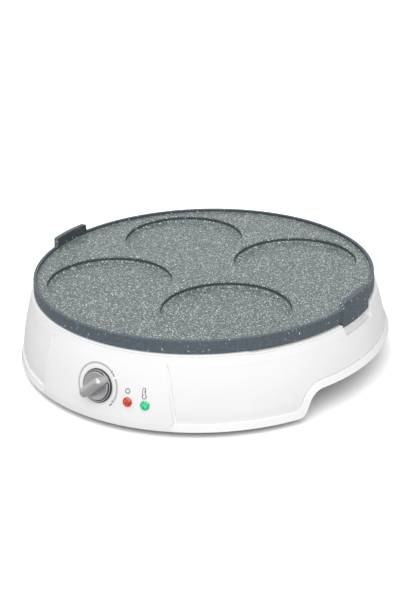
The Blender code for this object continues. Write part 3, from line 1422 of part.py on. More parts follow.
# Routes of the capillary and the leads between their two ends
CAPILLARY_ROUTE = (
    (0.0275, 0.0, 0.0670),
    (0.0290, 0.0, 0.0600),
    (0.0290, 0.0, 0.0480),
    (0.0260, -0.0160, 0.0420),
    (0.0200, -0.0600, 0.0400),
    (0.0120, -0.1050, 0.0400),
)
LIVE_ROUTE = (
    (-0.0200, 0.0680, 0.0150),
    (-0.0440, 0.0400, 0.0140),
    (-0.0560, 0.0, 0.0135),
    (-0.0460, -0.0600, 0.0140),
    (-0.0220, -0.1120, 0.0190),
)
SWITCHED_ROUTE = (
    (-0.0160, -0.1160, 0.0380),
    (-0.0300, -0.0700, 0.0400),
    (-0.0390, -0.0200, 0.0430),
)
ELEMENT_ROUTE = (
    (-0.0380, 0.0480, 0.0430),
    (-0.0300, 0.0620, 0.0340),
    (-0.0190, 0.0760, 0.0260),
)
NEUTRAL_ROUTE = (
    (0.0140, 0.0780, 0.0220),
    (0.0110, 0.0760, 0.0180),
)
EARTH_ROUTE = (
    (0.0420, 0.0560, 0.0430),
    (0.0240, 0.0660, 0.0280),
    (0.0060, 0.0740, 0.0180),
)


def with_tails(start, start_way, route, end, end_way):
    """Route whose ends leave square to what they meet."""
    start = Vector(start)
    end = Vector(end)
    first = start + Vector(start_way).normalized() * LEAD_TAIL
    last = end + Vector(end_way).normalized() * LEAD_TAIL
    return [start, first] + [Vector(point) for point in route] + [last, end]


def lead(root, node, finish_name, points):
    """Insulated lead through its route's points."""
    wire = tube(node, smooth_route(points), LEAD_RADIUS, WIRE_SIDES)
    part(node, wire, finish_name, root)


def build_leads(root):
    """Leads from the block to the thermostat, fuse, element and earth tag."""
    rear = thermostat_rear()
    half_width = THERMOSTAT_HALF_WIDTH / 2
    half_height = THERMOSTAT_HALF_HEIGHT / 2
    live_in = KNOB_FRAME @ Vector((-half_width, -half_height, rear))
    live_out = KNOB_FRAME @ Vector((-half_width, half_height, rear))
    block_y = BLOCK_Y - BLOCK_HALF_DEPTH - SEAT_GAP
    block_z = BLOCK_FLOOR_Z + BLOCK_BORE_RISE
    fuse_half = FUSE_LENGTH / 2 + SEAT_GAP
    pin_z = LEG_BOTTOM_Z - 2 * SEAT_GAP - BEAD_LENGTH - PIN_DROP
    left_pin = leg_place(-1) + Vector((0, 0, pin_z))
    right_pin = leg_place(1) + Vector((0, 0, pin_z))
    tag_end_y = TAG_Y + TAG_LENGTH - TAG_HALF_WIDTH + SEAT_GAP
    tag_end = (TAG_X, tag_end_y, SHIELD_UNDER_Z - 2 * SEAT_GAP - LEAD_RADIUS)
    inward = -KNOB_FRAME.col[2].to_3d()
    forward = (0, -1, 0)
    back = (0, 1, 0)
    down = (0, 0, -1)
    live_start = (-BLOCK_POLE_PITCH, block_y, block_z)
    earth_end = (0, block_y, block_z)
    neutral_end = (BLOCK_POLE_PITCH, block_y, block_z)
    fuse_front = (FUSE_X, FUSE_Y - fuse_half, FUSE_Z)
    fuse_rear = (FUSE_X, FUSE_Y + fuse_half, FUSE_Z)
    live = with_tails(live_start, forward, LIVE_ROUTE, live_in, inward)
    switched = with_tails(live_out, inward, SWITCHED_ROUTE, fuse_front, forward)
    element = with_tails(fuse_rear, back, ELEMENT_ROUTE, left_pin, down)
    neutral = with_tails(right_pin, down, NEUTRAL_ROUTE, neutral_end, forward)
    earth = with_tails(tag_end, back, EARTH_ROUTE, earth_end, forward)
    lead(root, "lead_live", "brown_lead", live)
    lead(root, "lead_switched", "brown_lead", switched)
    lead(root, "lead_element", "brown_lead", element)
    lead(root, "lead_neutral", "blue_lead", neutral)
    lead(root, "lead_earth", "green_lead", earth)


def build_lamp_leads(root):
    """Two thin leads from each neon lamp to the side of the thermostat."""
    rear = -LENS_STEM_DEPTH - NEON_TAIL - SEAT_GAP
    side_x = THERMOSTAT_HALF_WIDTH + SEAT_GAP
    front = thermostat_front()
    for index, share in enumerate(LAMP_LEAD_ROW_SHARES):
        frame = RED_FRAME if index < 2 else GREEN_FRAME
        across = LAMP_LEAD_HALF_PITCH * (1 if index % 2 else -1)
        start = frame @ Vector((across, 0, rear))
        inward = frame @ Vector((across, 0, rear - NEON_TAIL))
        height = THERMOSTAT_HALF_HEIGHT * share
        end_local = Vector((side_x, height, front - THERMOSTAT_DEPTH / 2))
        end = KNOB_FRAME @ end_local
        outward = KNOB_FRAME @ (end_local + Vector((NEON_TAIL, 0, 0)))
        middle = (inward + outward) / 2
        route = smooth_route([start, inward, middle, outward, end])
        wire = tube("lamp_lead", route, LAMP_LEAD_RADIUS, WIRE_SIDES)
        part("lamp_lead_" + str(index + 1), wire, "grey_lead", root)


# Whole object


def depth_offset():
    """Y of the plate's axis, which centres the whole object between the knob and the gland."""
    front = (KNOB_FRAME @ Vector((0, 0, GRIP_TOP))).y
    rear = (GLAND_FRAME @ Vector((0, 0, GLAND_PROUD))).y
    return -(front + rear) / 2


clear_scene()
PARTS = collection("Crepe_Maker")
CUTTERS = collection("Cutters")
ROOT = empty("crepe_maker_root", shift(0, depth_offset(), 0))
PLATE_AXIS = empty("plate_lift_axis", Matrix(), ROOT)
PANEL_AXIS = empty("panel_mount_axis", KNOB_FRAME, ROOT)
KNOB_AXIS = empty("knob_turn_axis", KNOB_FRAME, ROOT)
RED_AXIS = empty("red_lamp_axis", RED_FRAME, ROOT)
GREEN_AXIS = empty("green_lamp_axis", GREEN_FRAME, ROOT)
GLAND_AXIS = empty("cord_gland_axis", GLAND_FRAME, ROOT)

build_base_shell(ROOT)
build_bottom_cover(ROOT)
build_feet_and_screws(ROOT)
build_heat_shield(ROOT)
build_heating_element(ROOT)
build_sensor(ROOT)
build_fuse_and_earth(ROOT)
build_griddle_plate(PLATE_AXIS)
build_thermostat(PANEL_AXIS)
build_knob(KNOB_AXIS)
build_lamp("power_lamp_lens", "power_neon", "red_lens", RED_AXIS)
build_lamp("ready_lamp_lens", "ready_neon", "green_lens", GREEN_AXIS)
build_cord_gland(GLAND_AXIS)
build_terminal_block(ROOT)
build_leads(ROOT)
build_lamp_leads(ROOT)
bpy.context.view_layer.update()
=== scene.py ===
"""Dresses the packed crepe maker: housing, cooking plate, controls, heating parts and stage.

Metres, +Z up, front towards -Y. Every piece stands in the frame of the packed CAD model.
"""

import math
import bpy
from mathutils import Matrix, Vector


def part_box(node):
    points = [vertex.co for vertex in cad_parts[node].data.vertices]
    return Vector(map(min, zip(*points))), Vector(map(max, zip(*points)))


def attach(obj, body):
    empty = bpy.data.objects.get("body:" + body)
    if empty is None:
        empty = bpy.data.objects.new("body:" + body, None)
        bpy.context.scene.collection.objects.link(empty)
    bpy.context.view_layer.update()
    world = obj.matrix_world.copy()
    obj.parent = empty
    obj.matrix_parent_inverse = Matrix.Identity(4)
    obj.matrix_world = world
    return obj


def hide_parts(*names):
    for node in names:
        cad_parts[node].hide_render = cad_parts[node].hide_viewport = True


bl_info = {
    "name": "Crepe Maker Dressing",
    "version": (1, 0, 0),
    "blender": (4, 5, 0),
    "location": "View3D > Sidebar > Crepe Maker",
    "description": "Builds the shown pieces of a countertop crepe maker round its CAD frame",
    "category": "Object",
}

import bmesh
import bpy
from bpy.props import FloatProperty, FloatVectorProperty, IntProperty, PointerProperty
from mathutils import Matrix, Vector

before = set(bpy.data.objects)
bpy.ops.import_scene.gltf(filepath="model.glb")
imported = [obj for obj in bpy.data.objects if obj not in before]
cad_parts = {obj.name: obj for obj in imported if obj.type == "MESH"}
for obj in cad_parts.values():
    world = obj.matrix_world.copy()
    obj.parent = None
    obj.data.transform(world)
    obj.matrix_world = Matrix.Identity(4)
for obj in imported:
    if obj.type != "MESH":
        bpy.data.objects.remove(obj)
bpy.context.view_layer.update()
PLATE_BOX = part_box("griddle_plate")
AXIS_Y = (PLATE_BOX[0].y + PLATE_BOX[1].y) / 2
FRONT = -90.0
REAR = 90.0
SIDES = (-1, 1)
CORNERS = ("front_left", "front_right", "rear_left", "rear_right")
MM_PER_M = 1000
SLIP = 0.0003
WELD = 0.000005
FINE_WELD = 0.000002


# Colours and settings


def linear(code):
    """Linear colour of an sRGB hex value."""
    shares = [int(code[i : i + 2], 16) / 255 for i in (1, 3, 5)]
    tones = [c / 12.92 if c <= 0.04045 else ((c + 0.055) / 1.055) ** 2.4 for c in shares]
    return (*tones, 1.0)


def size(name, default, description):
    """Length that can be set, in metres."""
    return FloatProperty(
        name=name, description=description, default=default, min=0.0, unit="LENGTH", precision=5
    )


def offset(name, default, description):
    """Length that can be set either way, in metres."""
    return FloatProperty(
        name=name, description=description, default=default, unit="LENGTH", precision=5
    )


def number(name, default, description):
    """Plain number that can be set."""
    return FloatProperty(name=name, description=description, default=default)


def degrees(name, default, description):
    """Angle that can be set, in plain degrees."""
    return number(name, default, description)


def colour(name, code, description):
    """Colour that can be set, given as an sRGB hex value."""
    return FloatVectorProperty(
        name=name,
        description=description,
        default=linear(code),
        size=4,
        subtype="COLOR",
        min=0.0,
        max=1.0,
    )


class HousingSettings(bpy.types.PropertyGroup):
    """Sizes of the moulded housing."""

    foot_rise: size("Foot Rise", 0.0060, "Height of the lower edge over the floor")
    wall_height: size("Wall Height", 0.0615, "Height of the wall over its lower edge")
    rim_radius: size("Rim Radius", 0.1522, "Outer radius at the rim")
    lean: size("Lean", 0.0121, "How much wider the wall is at its foot")
    flange_height: size("Flange Height", 0.0063, "Height of the lip round the foot")
    flange_proud: size("Flange Proud", 0.0022, "How far the lip stands off the wall")
    flange_lean: size("Flange Lean", 0.0016, "How much less it stands off at its top")
    flange_groove: size("Flange Groove", 0.0003, "Depth of the shadow line over the lip")
    flange_undercut: size("Flange Undercut", 0.0008, "How far that line goes down behind the lip")
    cove: size("Cove", 0.0008, "How far the wall draws in right over the lip")
    cove_height: size("Cove Height", 0.0100, "Height over which it draws in")
    wall: size("Wall", 0.0022, "Thickness of the moulding")
    rim_round: size("Rim Round", 0.0007, "Rounding of the rim")
    rim_groove: size("Rim Groove", 0.0008, "Depth of the fine groove under the rounding")
    rim_land: size("Rim Land", 0.0064, "Width of the rim with its rounding")
    relief: size("Relief", 0.0010, "How much lower the rim is round each lug")
    relief_deg: degrees("Relief Angle", 43.8, "Half angle of the lower rim")
    scoop_rise: size("Scoop Rise", 0.0206, "How far the edge rises in a finger scoop")
    scoop_front_deg: degrees("Scoop Front", -30.8, "Where a scoop starts")
    scoop_rear_deg: degrees("Scoop Rear", 50.0, "Where a scoop ends")
    scoop_low_radius: size("Scoop Low Radius", 0.0080, "Bend at the foot of a scoop's end")
    scoop_high_radius: size("Scoop High Radius", 0.0160, "Bend at the top of a scoop's end")
    scoop_slope_deg: degrees("Scoop Slope", 62.0, "Slope of a scoop's end")
    panel_proud: size("Panel Proud", 0.0019, "How far the panel stands off at its foot")
    panel_foot_lean: size("Panel Foot Lean", 0.0003, "How much it has drawn in at the lip's top")
    panel_top_drop: size("Panel Top Drop", 0.0065, "Where the panel ends under the rim")
    panel_edge: size("Panel Edge", 0.0010, "Width of the step round the panel")
    lip_end: size("Lip End", 0.0036, "Width over which the lip runs into the panel")
    panel_corner: size("Panel Corner", 0.0042, "Rounding of the panel's top corners")
    panel_groove: size("Panel Groove", 0.0015, "Depth of the groove round the panel")
    panel_groove_width: size("Panel Groove Width", 0.0032, "Width of the groove round the panel")
    panel_low_deg: degrees("Panel Low Angle", 23.4, "Half angle of the panel at its foot")
    panel_top_deg: degrees("Panel Top Angle", 20.6, "Half angle of the panel at its top")
    notch_depth: size("Notch Depth", 0.0105, "Depth of a lug's notch under the rim")
    notch_top_half: size("Notch Half Width", 0.0262, "Half width of a notch at the rim")
    notch_floor_half: size("Notch Floor Half Width", 0.0236, "Half width of a notch at its floor")
    notch_corner: size("Notch Corner", 0.0030, "Rounding at a notch's floor")
    ledge_radius: size("Ledge Radius", 0.1370, "Inner radius of the heat shield's ledge")
    ledge_height: size("Ledge Height", 0.0025, "Thickness of the ledge")
    screen_radius: size("Screen Radius", 0.1484, "Outer radius of the wall behind a notch")
    screen_height: size("Screen Height", 0.0092, "Height of that wall over the ledge")
    screen_deg: degrees("Screen Angle", 12.5, "Half angle of that wall")
    cheek: size("Cheek", 0.0016, "Thickness of the walls beside a notch")
    post_radius: size("Post Radius", 0.0045, "Radius of the posts for the cover's screws")
    post_low: size("Post Foot", 0.0101, "Height of the posts' lower ends")
    boss_radius: size("Boss Radius", 0.0040, "Radius of the bosses for the shield's screws")
    boss_low: size("Boss Foot", 0.0460, "Height of the bosses' lower ends")
    column_deg: degrees("Column Step", 1.2, "Angle between the wall's columns of points")


class PlateSettings(bpy.types.PropertyGroup):
    """Sizes of the cast cooking plate."""

    radius: size("Radius", 0.1508, "Outer radius at the band's lower edge")
    taper: size("Taper", 0.0003, "How much smaller the rim is")
    band: size("Band", 0.0030, "Thickness of the band")
    band_height: size("Band Height", 0.0110, "Height of the band")
    rim_z: size("Rim Height", 0.0795, "Height of the rim over the floor")
    cook_z: size("Cooking Height", 0.0766, "Height of the cooking face over the floor")
    web: size("Web", 0.0036, "Thickness under the cooking face")
    recess_radius: size("Recess Radius", 0.0555, "Radius of a recess")
    recess_depth: size("Recess Depth", 0.0050, "Depth of a recess")
    recess_pitch: size("Recess Pitch Radius", 0.0844, "Circle that the recesses stand on")
    recess_fillet: size("Recess Fillet", 0.0022, "Fillet round a recess's floor")
    recess_first_deg: degrees("First Recess", 45.0, "Angle of the first recess")
    recess_count: IntProperty(name="Recesses", description="Number of recesses", default=4, min=1)
    cup_wall: size("Cup Wall", 0.0034, "Wall of a cup under its recess")
    lug_outer: size("Lug Outer Radius", 0.1520, "Outer radius of a lug")
    lug_wall: size("Lug Wall", 0.0030, "Thickness of a lug")
    lug_high: size("Lug Top", 0.0863, "Height of a lug's top edge")
    lug_low: size("Lug Foot", 0.0637, "Height of a lug's lower edge")
    lug_top_half: size("Lug Half Width", 0.0216, "Half width at a lug's top")
    lug_low_half: size("Lug Foot Half Width", 0.0242, "Half width at a lug's foot")
    lug_corner: size("Lug Corner", 0.0010, "Rounding of a lug's corners")
    foot_outer: size("Foot Outer Radius", 0.1446, "Outer radius of the cast feet")
    foot_inner: size("Foot Inner Radius", 0.1408, "Inner radius of the cast feet")
    foot_half_deg: degrees("Foot Half Angle", 3.2, "Half angle of a cast foot")
    foot_deg: degrees("Foot Angle", 60.0, "Angle of the cast feet")
    foot_low: size("Foot Low", 0.0586, "Height of the cast feet's soles")


class ControlSettings(bpy.types.PropertyGroup):
    """Sizes of the knob, the lamps and the printed marks."""

    knob_z: size("Knob Height", 0.0355, "Height of the knob's middle")
    knob_radius: size("Knob Radius", 0.0118, "Radius of the knob's disc")
    knob_back: size("Knob Back", 0.0006, "Gap behind the knob")
    knob_face: size("Knob Face", 0.0036, "Height of the disc's rim over the panel")
    knob_dish: size("Knob Dish", 0.0018, "How much deeper the disc's middle is")
    ring_width: size("Ring Width", 0.0021, "Width of the trim ring")
    ring_bright: size("Bright Ring Width", 0.0009, "Width of the ring's chromed land")
    ring_depth: size("Ring Depth", 0.0017, "Depth of the trim ring")
    grip_length: size("Grip Length", 0.0276, "Length of the grip")
    grip_width: size("Grip Width", 0.0092, "Width of the grip")
    grip_top: size("Grip Top", 0.0132, "Height of the grip over the panel")
    grip_deg: degrees("Grip Angle", 42.0, "Angle of the grip on the panel")
    red_deg: degrees("Red Lamp Angle", -80.1, "Where the red lamp stands")
    red_z: size("Red Lamp Height", 0.0275, "Height of the red lamp")
    green_deg: degrees("Green Lamp Angle", -74.8, "Where the green lamp stands")
    green_z: size("Green Lamp Height", 0.0268, "Height of the green lamp")
    lens_radius: size("Lens Radius", 0.0040, "Radius of a lens")
    lens_height: size("Lens Height", 0.0016, "Height of a lens's dome")
    stem_radius: size("Stem Radius", 0.0031, "Radius of a lens's stem")
    stem_depth: size("Stem Depth", 0.0090, "Depth of a lens's stem")
    dial_radius: size("Dial Radius", 0.0190, "Radius of the printed dial")
    dial_right: offset("Dial Right", -0.0010, "Dial's middle right of the knob's")
    dial_up: offset("Dial Up", -0.0007, "Dial's middle above the knob's")
    line_width: size("Line Width", 0.0017, "Width of the printed lines")
    ink_height: size("Ink Height", 0.00006, "Height of the print over the panel")


class HeatingSettings(bpy.types.PropertyGroup):
    """Sizes of the heat shield and the heating element."""

    shield_radius: size("Shield Radius", 0.1453, "Outer radius of the heat shield")
    shield_floor_radius: size("Shield Floor Radius", 0.1290, "Radius of its flat floor")
    shield_lip_radius: size("Shield Lip Radius", 0.1365, "Where its flange starts")
    shield_flange_z: size("Shield Flange Height", 0.0583, "Height of its flange")
    shield_floor_z: size("Shield Floor Height", 0.0500, "Height of its floor")
    shield_sheet: size("Shield Sheet", 0.0010, "Thickness of its sheet")
    screw_circle: size("Screw Circle", 0.1412, "Circle of the shield's screws")
    element_circle: size("Element Circle", 0.0844, "Radius of the element's ring")
    element_radius: size("Element Radius", 0.0040, "Radius of the element's tube")
    element_z: size("Element Height", 0.0632, "Height of the element's ring")
    element_gap_half: size("Element Half Gap", 0.0130, "Half of the gap between its legs")
    element_bend: size("Element Bend", 0.0080, "Bend at the top of each leg")
    element_low: size("Element Low", 0.0430, "Lower end of its legs")


class UndersideSettings(bpy.types.PropertyGroup):
    """Sizes of the feet, the cover's screws and the cord gland."""

    foot_circle: size("Foot Circle", 0.1400, "Circle that the feet stand on")
    foot_front_deg: degrees("Front Foot Angle", -55.0, "Angle of the front feet")
    foot_rear_deg: degrees("Rear Foot Angle", 68.0, "Angle of the rear feet")
    foot_radius: size("Foot Radius", 0.0100, "Radius of a foot")
    foot_top: size("Foot Top", 0.0075, "Height of a foot's shoulder")
    stem_radius: size("Foot Stem Radius", 0.0030, "Radius of a foot's stem")
    stem_top: size("Foot Stem Top", 0.0123, "Height of a foot's stem")
    post_circle: size("Post Circle", 0.1470, "Circle of the cover's screws")
    post_front_deg: degrees("Front Post Angle", -40.0, "Angle of the front screws")
    post_rear_deg: degrees("Rear Post Angle", 57.0, "Angle of the rear screws")
    screw_head_radius: size("Screw Head Radius", 0.0032, "Radius of a screw's head")
    screw_head: size("Screw Head", 0.0016, "Height of a screw's head")
    screw_radius: size("Screw Radius", 0.0015, "Radius of a screw's shank")
    cover_screw_length: size("Cover Screw Length", 0.0130, "Length of the cover's screws")
    shield_screw_length: size("Shield Screw Length", 0.0090, "Length of the shield's screws")
    gland_z: size("Gland Height", 0.0250, "Height of the cord gland")
    gland_radius: size("Gland Radius", 0.0090, "Radius of the gland's flange")
    gland_neck: size("Gland Neck", 0.0065, "Radius of the gland's neck")
    gland_bore: size("Gland Bore", 0.0040, "Radius of the gland's bore")
    gland_proud: size("Gland Proud", 0.0050, "How far the gland stands out")
    gland_rear: size("Gland Rear", 0.0030, "Depth of the gland's inner flange")


class FinishSettings(bpy.types.PropertyGroup):
    """Colours of the finishes."""

    housing: colour("Housing", "#F6F6F5", "Gloss white of the moulded housing")
    stone: colour("Stone", "#626B6B", "Ground colour of the cooking face")
    slate: colour("Slate", "#555F67", "Coating of the plate's band and lugs")
    # Painted shade: the dark tone that stands for the shade on the plate's inner steep sides
    painted_shade_tone: colour("Inner Slate", "#3A4246", "Coating of the inner steep sides")
    silver: colour("Silver", "#B0B0B2", "Lacquer of the knob")
    ink: colour("Ink", "#C6C6C8", "Printed marks")
    red: colour("Red Lens", "#A8260F", "Tinted lens of the power lamp")
    green: colour("Green Lens", "#12A86A", "Tinted lens of the ready lamp")
    cover: colour("Cover", "#4B4D50", "Textured bottom cover")


class StageSettings(bpy.types.PropertyGroup):
    """Camera, lamps and floor."""

    azimuth: degrees("Azimuth", 33.04, "Camera's direction round the object")
    elevation: degrees("Elevation", 24.15, "Camera's height in degrees")
    roll: degrees("Roll", -1.72, "Camera's roll")
    distance: size("Distance", 1.17703, "Camera's distance from its target")
    lens: number("Lens", 78.245, "Focal length in mm")
    target: FloatVectorProperty(
        name="Target",
        description="Point in the middle of the view",
        default=(-0.00609, 0.00213, 0.0450),
        unit="LENGTH",
    )
    sky: number("Sky", 0.59, "Even light from all round")
    front: number("Front Light", 1.98, "Front light's strength")
    front_deg: degrees("Front Light Angle", -57.0, "Where the front light comes from")
    front_height: degrees("Front Light Height", 46.0, "Angle of the front light over the floor")
    floor_white: number("Floor White", 1.35, "How white the camera sees the lit floor")
    side: number("Side Light", 0.46, "Side light's strength")
    side_deg: degrees("Side Light Angle", 175.0, "Where the side light comes from")
    side_height: degrees("Side Light Height", 68.0, "Angle of the side light over the floor")


# Mesh helpers

# Steps round a full turn, from the widest pieces to the thinnest
WIDE_STEPS = 180
RECESS_STEPS = 128
DISC_STEPS = 96
GLAND_STEPS = 48
BUTTON_STEPS = 40
POST_STEPS = 32
SCREW_STEPS = 24
TUBE_SIDES = 20

AT_AXIS = Matrix.Translation((0, AXIS_Y, 0))


def turn(deg, axis="Z"):
    """Frame turned about one axis."""
    return Matrix.Rotation(math.radians(deg), 4, axis)


def polar(radius, deg, z):
    """Point at a radius and an angle from +X."""
    angle = math.radians(deg)
    return Vector((radius * math.cos(angle), radius * math.sin(angle), z))


def quarter(steps):
    """Angles of a quarter turn, both ends included."""
    return [math.pi / 2 * i / steps for i in range(steps + 1)]


def ease(share):
    """Smooth step from 0 to 1."""
    share = max(0.0, min(1.0, share))
    return share * share * (3 - 2 * share)


def mesh_of(name, points, faces, edges=()):
    """Mesh from plain lists."""
    mesh = bpy.data.meshes.new(name)
    mesh.from_pydata([tuple(p) for p in points], list(edges), list(faces))
    return mesh


def cleaned(mesh, dist=FINE_WELD):
    """Closed mesh with doubles merged and faces turned outwards."""
    work = bmesh.new()
    work.from_mesh(mesh)
    bmesh.ops.remove_doubles(work, verts=work.verts, dist=dist)
    bmesh.ops.dissolve_degenerate(work, edges=work.edges, dist=dist / 2)
    bmesh.ops.recalc_face_normals(work, faces=work.faces)
    work.to_mesh(mesh)
    work.free()
    return mesh


def merged(meshes, frames=(Matrix(),)):
    """One mesh of several closed shells, each copied to every frame."""
    work = bmesh.new()
    for mesh in meshes:
        for place in frames:
            start = len(work.verts)
            work.from_mesh(mesh)
            work.verts.ensure_lookup_table()
            bmesh.ops.transform(work, matrix=place, verts=work.verts[start:])
    result = bpy.data.meshes.new(meshes[0].name)
    work.to_mesh(result)
    work.free()
    return result


def grid(name, columns, closed_columns=False, closed_rows=False):
    """Surface through columns of points."""
    rows = len(columns[0])
    count = len(columns)
    points = [p for column in columns for p in column]
    faces = []
    for c in range(count if closed_columns else count - 1):
        for r in range(rows if closed_rows else rows - 1):
            d = (c + 1) % count
            s = (r + 1) % rows
            faces.append((c * rows + r, d * rows + r, d * rows + s, c * rows + s))
    return mesh_of(name, points, faces)


def softened(corners, steps=4, closed=False):
    """Outline whose corners (x, y, radius) are rounded."""
    count = len(corners)
    outline = []
    for i, (x, y, radius) in enumerate(corners):
        here = Vector((x, y))
        if radius <= 0 or (not closed and i in (0, count - 1)):
            outline.append((x, y))
            continue
        before = Vector(corners[i - 1][:2]) - here
        after = Vector(corners[(i + 1) % count][:2]) - here
        half = before.angle(after) / 2
        reach = min(radius / math.tan(half), before.length * 0.49, after.length * 0.49)
        radius = reach * math.tan(half)
        way = (before.normalized() + after.normalized()).normalized()
        centre = here + way * (radius / math.sin(half))
        start = (here + before.normalized() * reach - centre).normalized()
        end = (here + after.normalized() * reach - centre).normalized()
        for step in range(steps + 1):
            outline.append(tuple(centre + start.slerp(end, step / steps) * radius))
    return outline


def turned(name, profile, steps, closed=False):
    """Solid turned about Z from a profile of (radius, height)."""
    columns = []
    for i in range(steps):
        columns.append([polar(r, 360 * i / steps, z) for r, z in profile])
    return cleaned(grid(name, columns, closed_columns=True, closed_rows=closed))


def capped(name, loops):
    """Solid through closed loops of points, its two ends closed."""
    mesh = grid(name, loops, closed_rows=True)
    count = len(loops[0])
    work = bmesh.new()
    work.from_mesh(mesh)
    work.verts.ensure_lookup_table()
    for start in (0, len(work.verts) - count):
        work.faces.new([work.verts[start + i] for i in range(count)])
    bmesh.ops.recalc_face_normals(work, faces=work.faces)
    work.to_mesh(mesh)
    work.free()
    return mesh


def slab(name, outline, low, high, place=Matrix()):
    """Flat outline in the XY plane, extruded between two heights."""
    count = len(outline)
    points = [(x, y, low) for x, y in outline] + [(x, y, high) for x, y in outline]
    faces = [tuple(range(count))[::-1], tuple(range(count, 2 * count))]
    faces += [(i, (i + 1) % count, count + (i + 1) % count, count + i) for i in range(count)]
    mesh = cleaned(mesh_of(name, points, faces))
    mesh.transform(place)
    return mesh


def helper_object(name, mesh):
    """Object in the scene that carries a mesh while it is worked on."""
    obj = bpy.data.objects.new(name, mesh)
    bpy.context.scene.collection.objects.link(obj)
    return obj


def converted(obj):
    """Plain mesh of an object with its modifiers; the object is removed."""
    bpy.context.view_layer.update()
    graph = bpy.context.evaluated_depsgraph_get()
    mesh = bpy.data.meshes.new_from_object(obj.evaluated_get(graph))
    bpy.data.objects.remove(obj, do_unlink=True)
    return mesh


def cut(mesh, tools, operation="DIFFERENCE"):
    """Exact Boolean of a mesh with others."""
    body = helper_object(mesh.name, mesh)
    helpers = []
    for item in tools:
        tool = helper_object("tool", item)
        helpers.append(tool)
        modifier = body.modifiers.new("Cut", "BOOLEAN")
        modifier.operation = operation
        modifier.solver = "EXACT"
        modifier.object = tool
    result = converted(body)
    for tool in helpers:
        bpy.data.objects.remove(tool, do_unlink=True)
    return result


def bevelled(mesh, width, segments=2, angle=40):
    """Mesh whose sharp edges are rounded."""
    body = helper_object(mesh.name, mesh)
    modifier = body.modifiers.new("Rounded", "BEVEL")
    modifier.width = width
    modifier.segments = segments
    modifier.limit_method = "ANGLE"
    modifier.angle_limit = math.radians(angle)
    modifier.harden_normals = False
    return converted(body)


def piece(name, mesh, materials, body, replaces=(), sharp_deg=35, place=AT_AXIS):
    """Finished piece of the object: smoothed, placed, and riding on its CAD body."""
    mesh.transform(place)
    mesh.name = name
    if not mesh.materials:
        for material in materials:
            mesh.materials.append(material)
    mesh.shade_smooth()
    mesh.set_sharp_from_angle(angle=math.radians(sharp_deg))
    obj = helper_object(name, mesh)
    normals = obj.modifiers.new("Weighted", "WEIGHTED_NORMAL")
    normals.mode = "FACE_AREA"
    normals.keep_sharp = True
    mesh = converted(obj)
    mesh.name = name
    obj = helper_object(name, mesh)
    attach(obj, body)
    if replaces:
        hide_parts(*replaces)
    return obj


# Node helpers


def add(tree, kind, inputs=(), **settings):
    """Adds a node, sets it up, and links or fills its inputs, given as (socket, value) pairs."""
    node = tree.nodes.new(kind)
    for key, value in settings.items():
        setattr(node, key, value)
    for key, value in inputs:
        if isinstance(value, bpy.types.NodeSocket):
            tree.links.new(value, node.inputs[key])
        else:
            node.inputs[key].default_value = value
    return node


def geometry_tree(name, sockets):
    """Empty Geometry Nodes tree with named inputs; returns it with its input node."""
    tree = bpy.data.node_groups.new(name, "GeometryNodeTree")
    tree.interface.new_socket("Geometry", in_out="INPUT", socket_type="NodeSocketGeometry")
    for label, kind in sockets:
        tree.interface.new_socket(label, in_out="INPUT", socket_type="NodeSocket" + kind)
    tree.interface.new_socket("Geometry", in_out="OUTPUT", socket_type="NodeSocketGeometry")
    return tree, add(tree, "NodeGroupInput").outputs


def end_tree(tree, source, geometry):
    """Ends a tree in Realize Instances and Set Material."""
    real = add(tree, "GeometryNodeRealizeInstances", [("Geometry", geometry)])
    painted = add(
        tree,
        "GeometryNodeSetMaterial",
        [("Geometry", real.outputs[0]), ("Material", source["Material"])],
    )
    add(tree, "NodeGroupOutput", [("Geometry", painted.outputs[0])])
    return tree


def grown(mesh, tree, values):
    """Plain mesh that a Geometry Nodes tree makes out of a starting mesh."""
    obj = helper_object(mesh.name, mesh)
    modifier = obj.modifiers.new(tree.name, "NODES")
    modifier.node_group = tree
    for item in tree.interface.items_tree:
        if item.in_out == "INPUT" and item.name in values:
            modifier[item.identifier] = values[item.name]
    return converted(obj)


def copies_tree():
    """Sets a copy of a piece on every point."""
    sockets = [("Piece", "Object"), ("Material", "Material")]
    tree, source = geometry_tree("Copies On Points", sockets)
    model = add(tree, "GeometryNodeObjectInfo", [("Object", source["Piece"])])
    spread = add(
        tree,
        "GeometryNodeInstanceOnPoints",
        [("Points", source["Geometry"]), ("Instance", model.outputs["Geometry"])],
    )
    return end_tree(tree, source, spread.outputs[0])


def tube_tree():
    """Round tube along a path of points."""
    sockets = [("Radius", "Float"), ("Sides", "Int"), ("Material", "Material")]
    tree, source = geometry_tree("Tube Along Path", sockets)
    path = add(tree, "GeometryNodeMeshToCurve", [("Mesh", source["Geometry"])])
    ring = add(
        tree,
        "GeometryNodeCurvePrimitiveCircle",
        [("Resolution", source["Sides"]), ("Radius", source["Radius"])],
    )
    tube = add(
        tree,
        "GeometryNodeCurveToMesh",
        [("Curve", path.outputs[0]), ("Profile Curve", ring.outputs["Curve"]), ("Fill Caps", True)],
    )
    return end_tree(tree, source, tube.outputs[0])


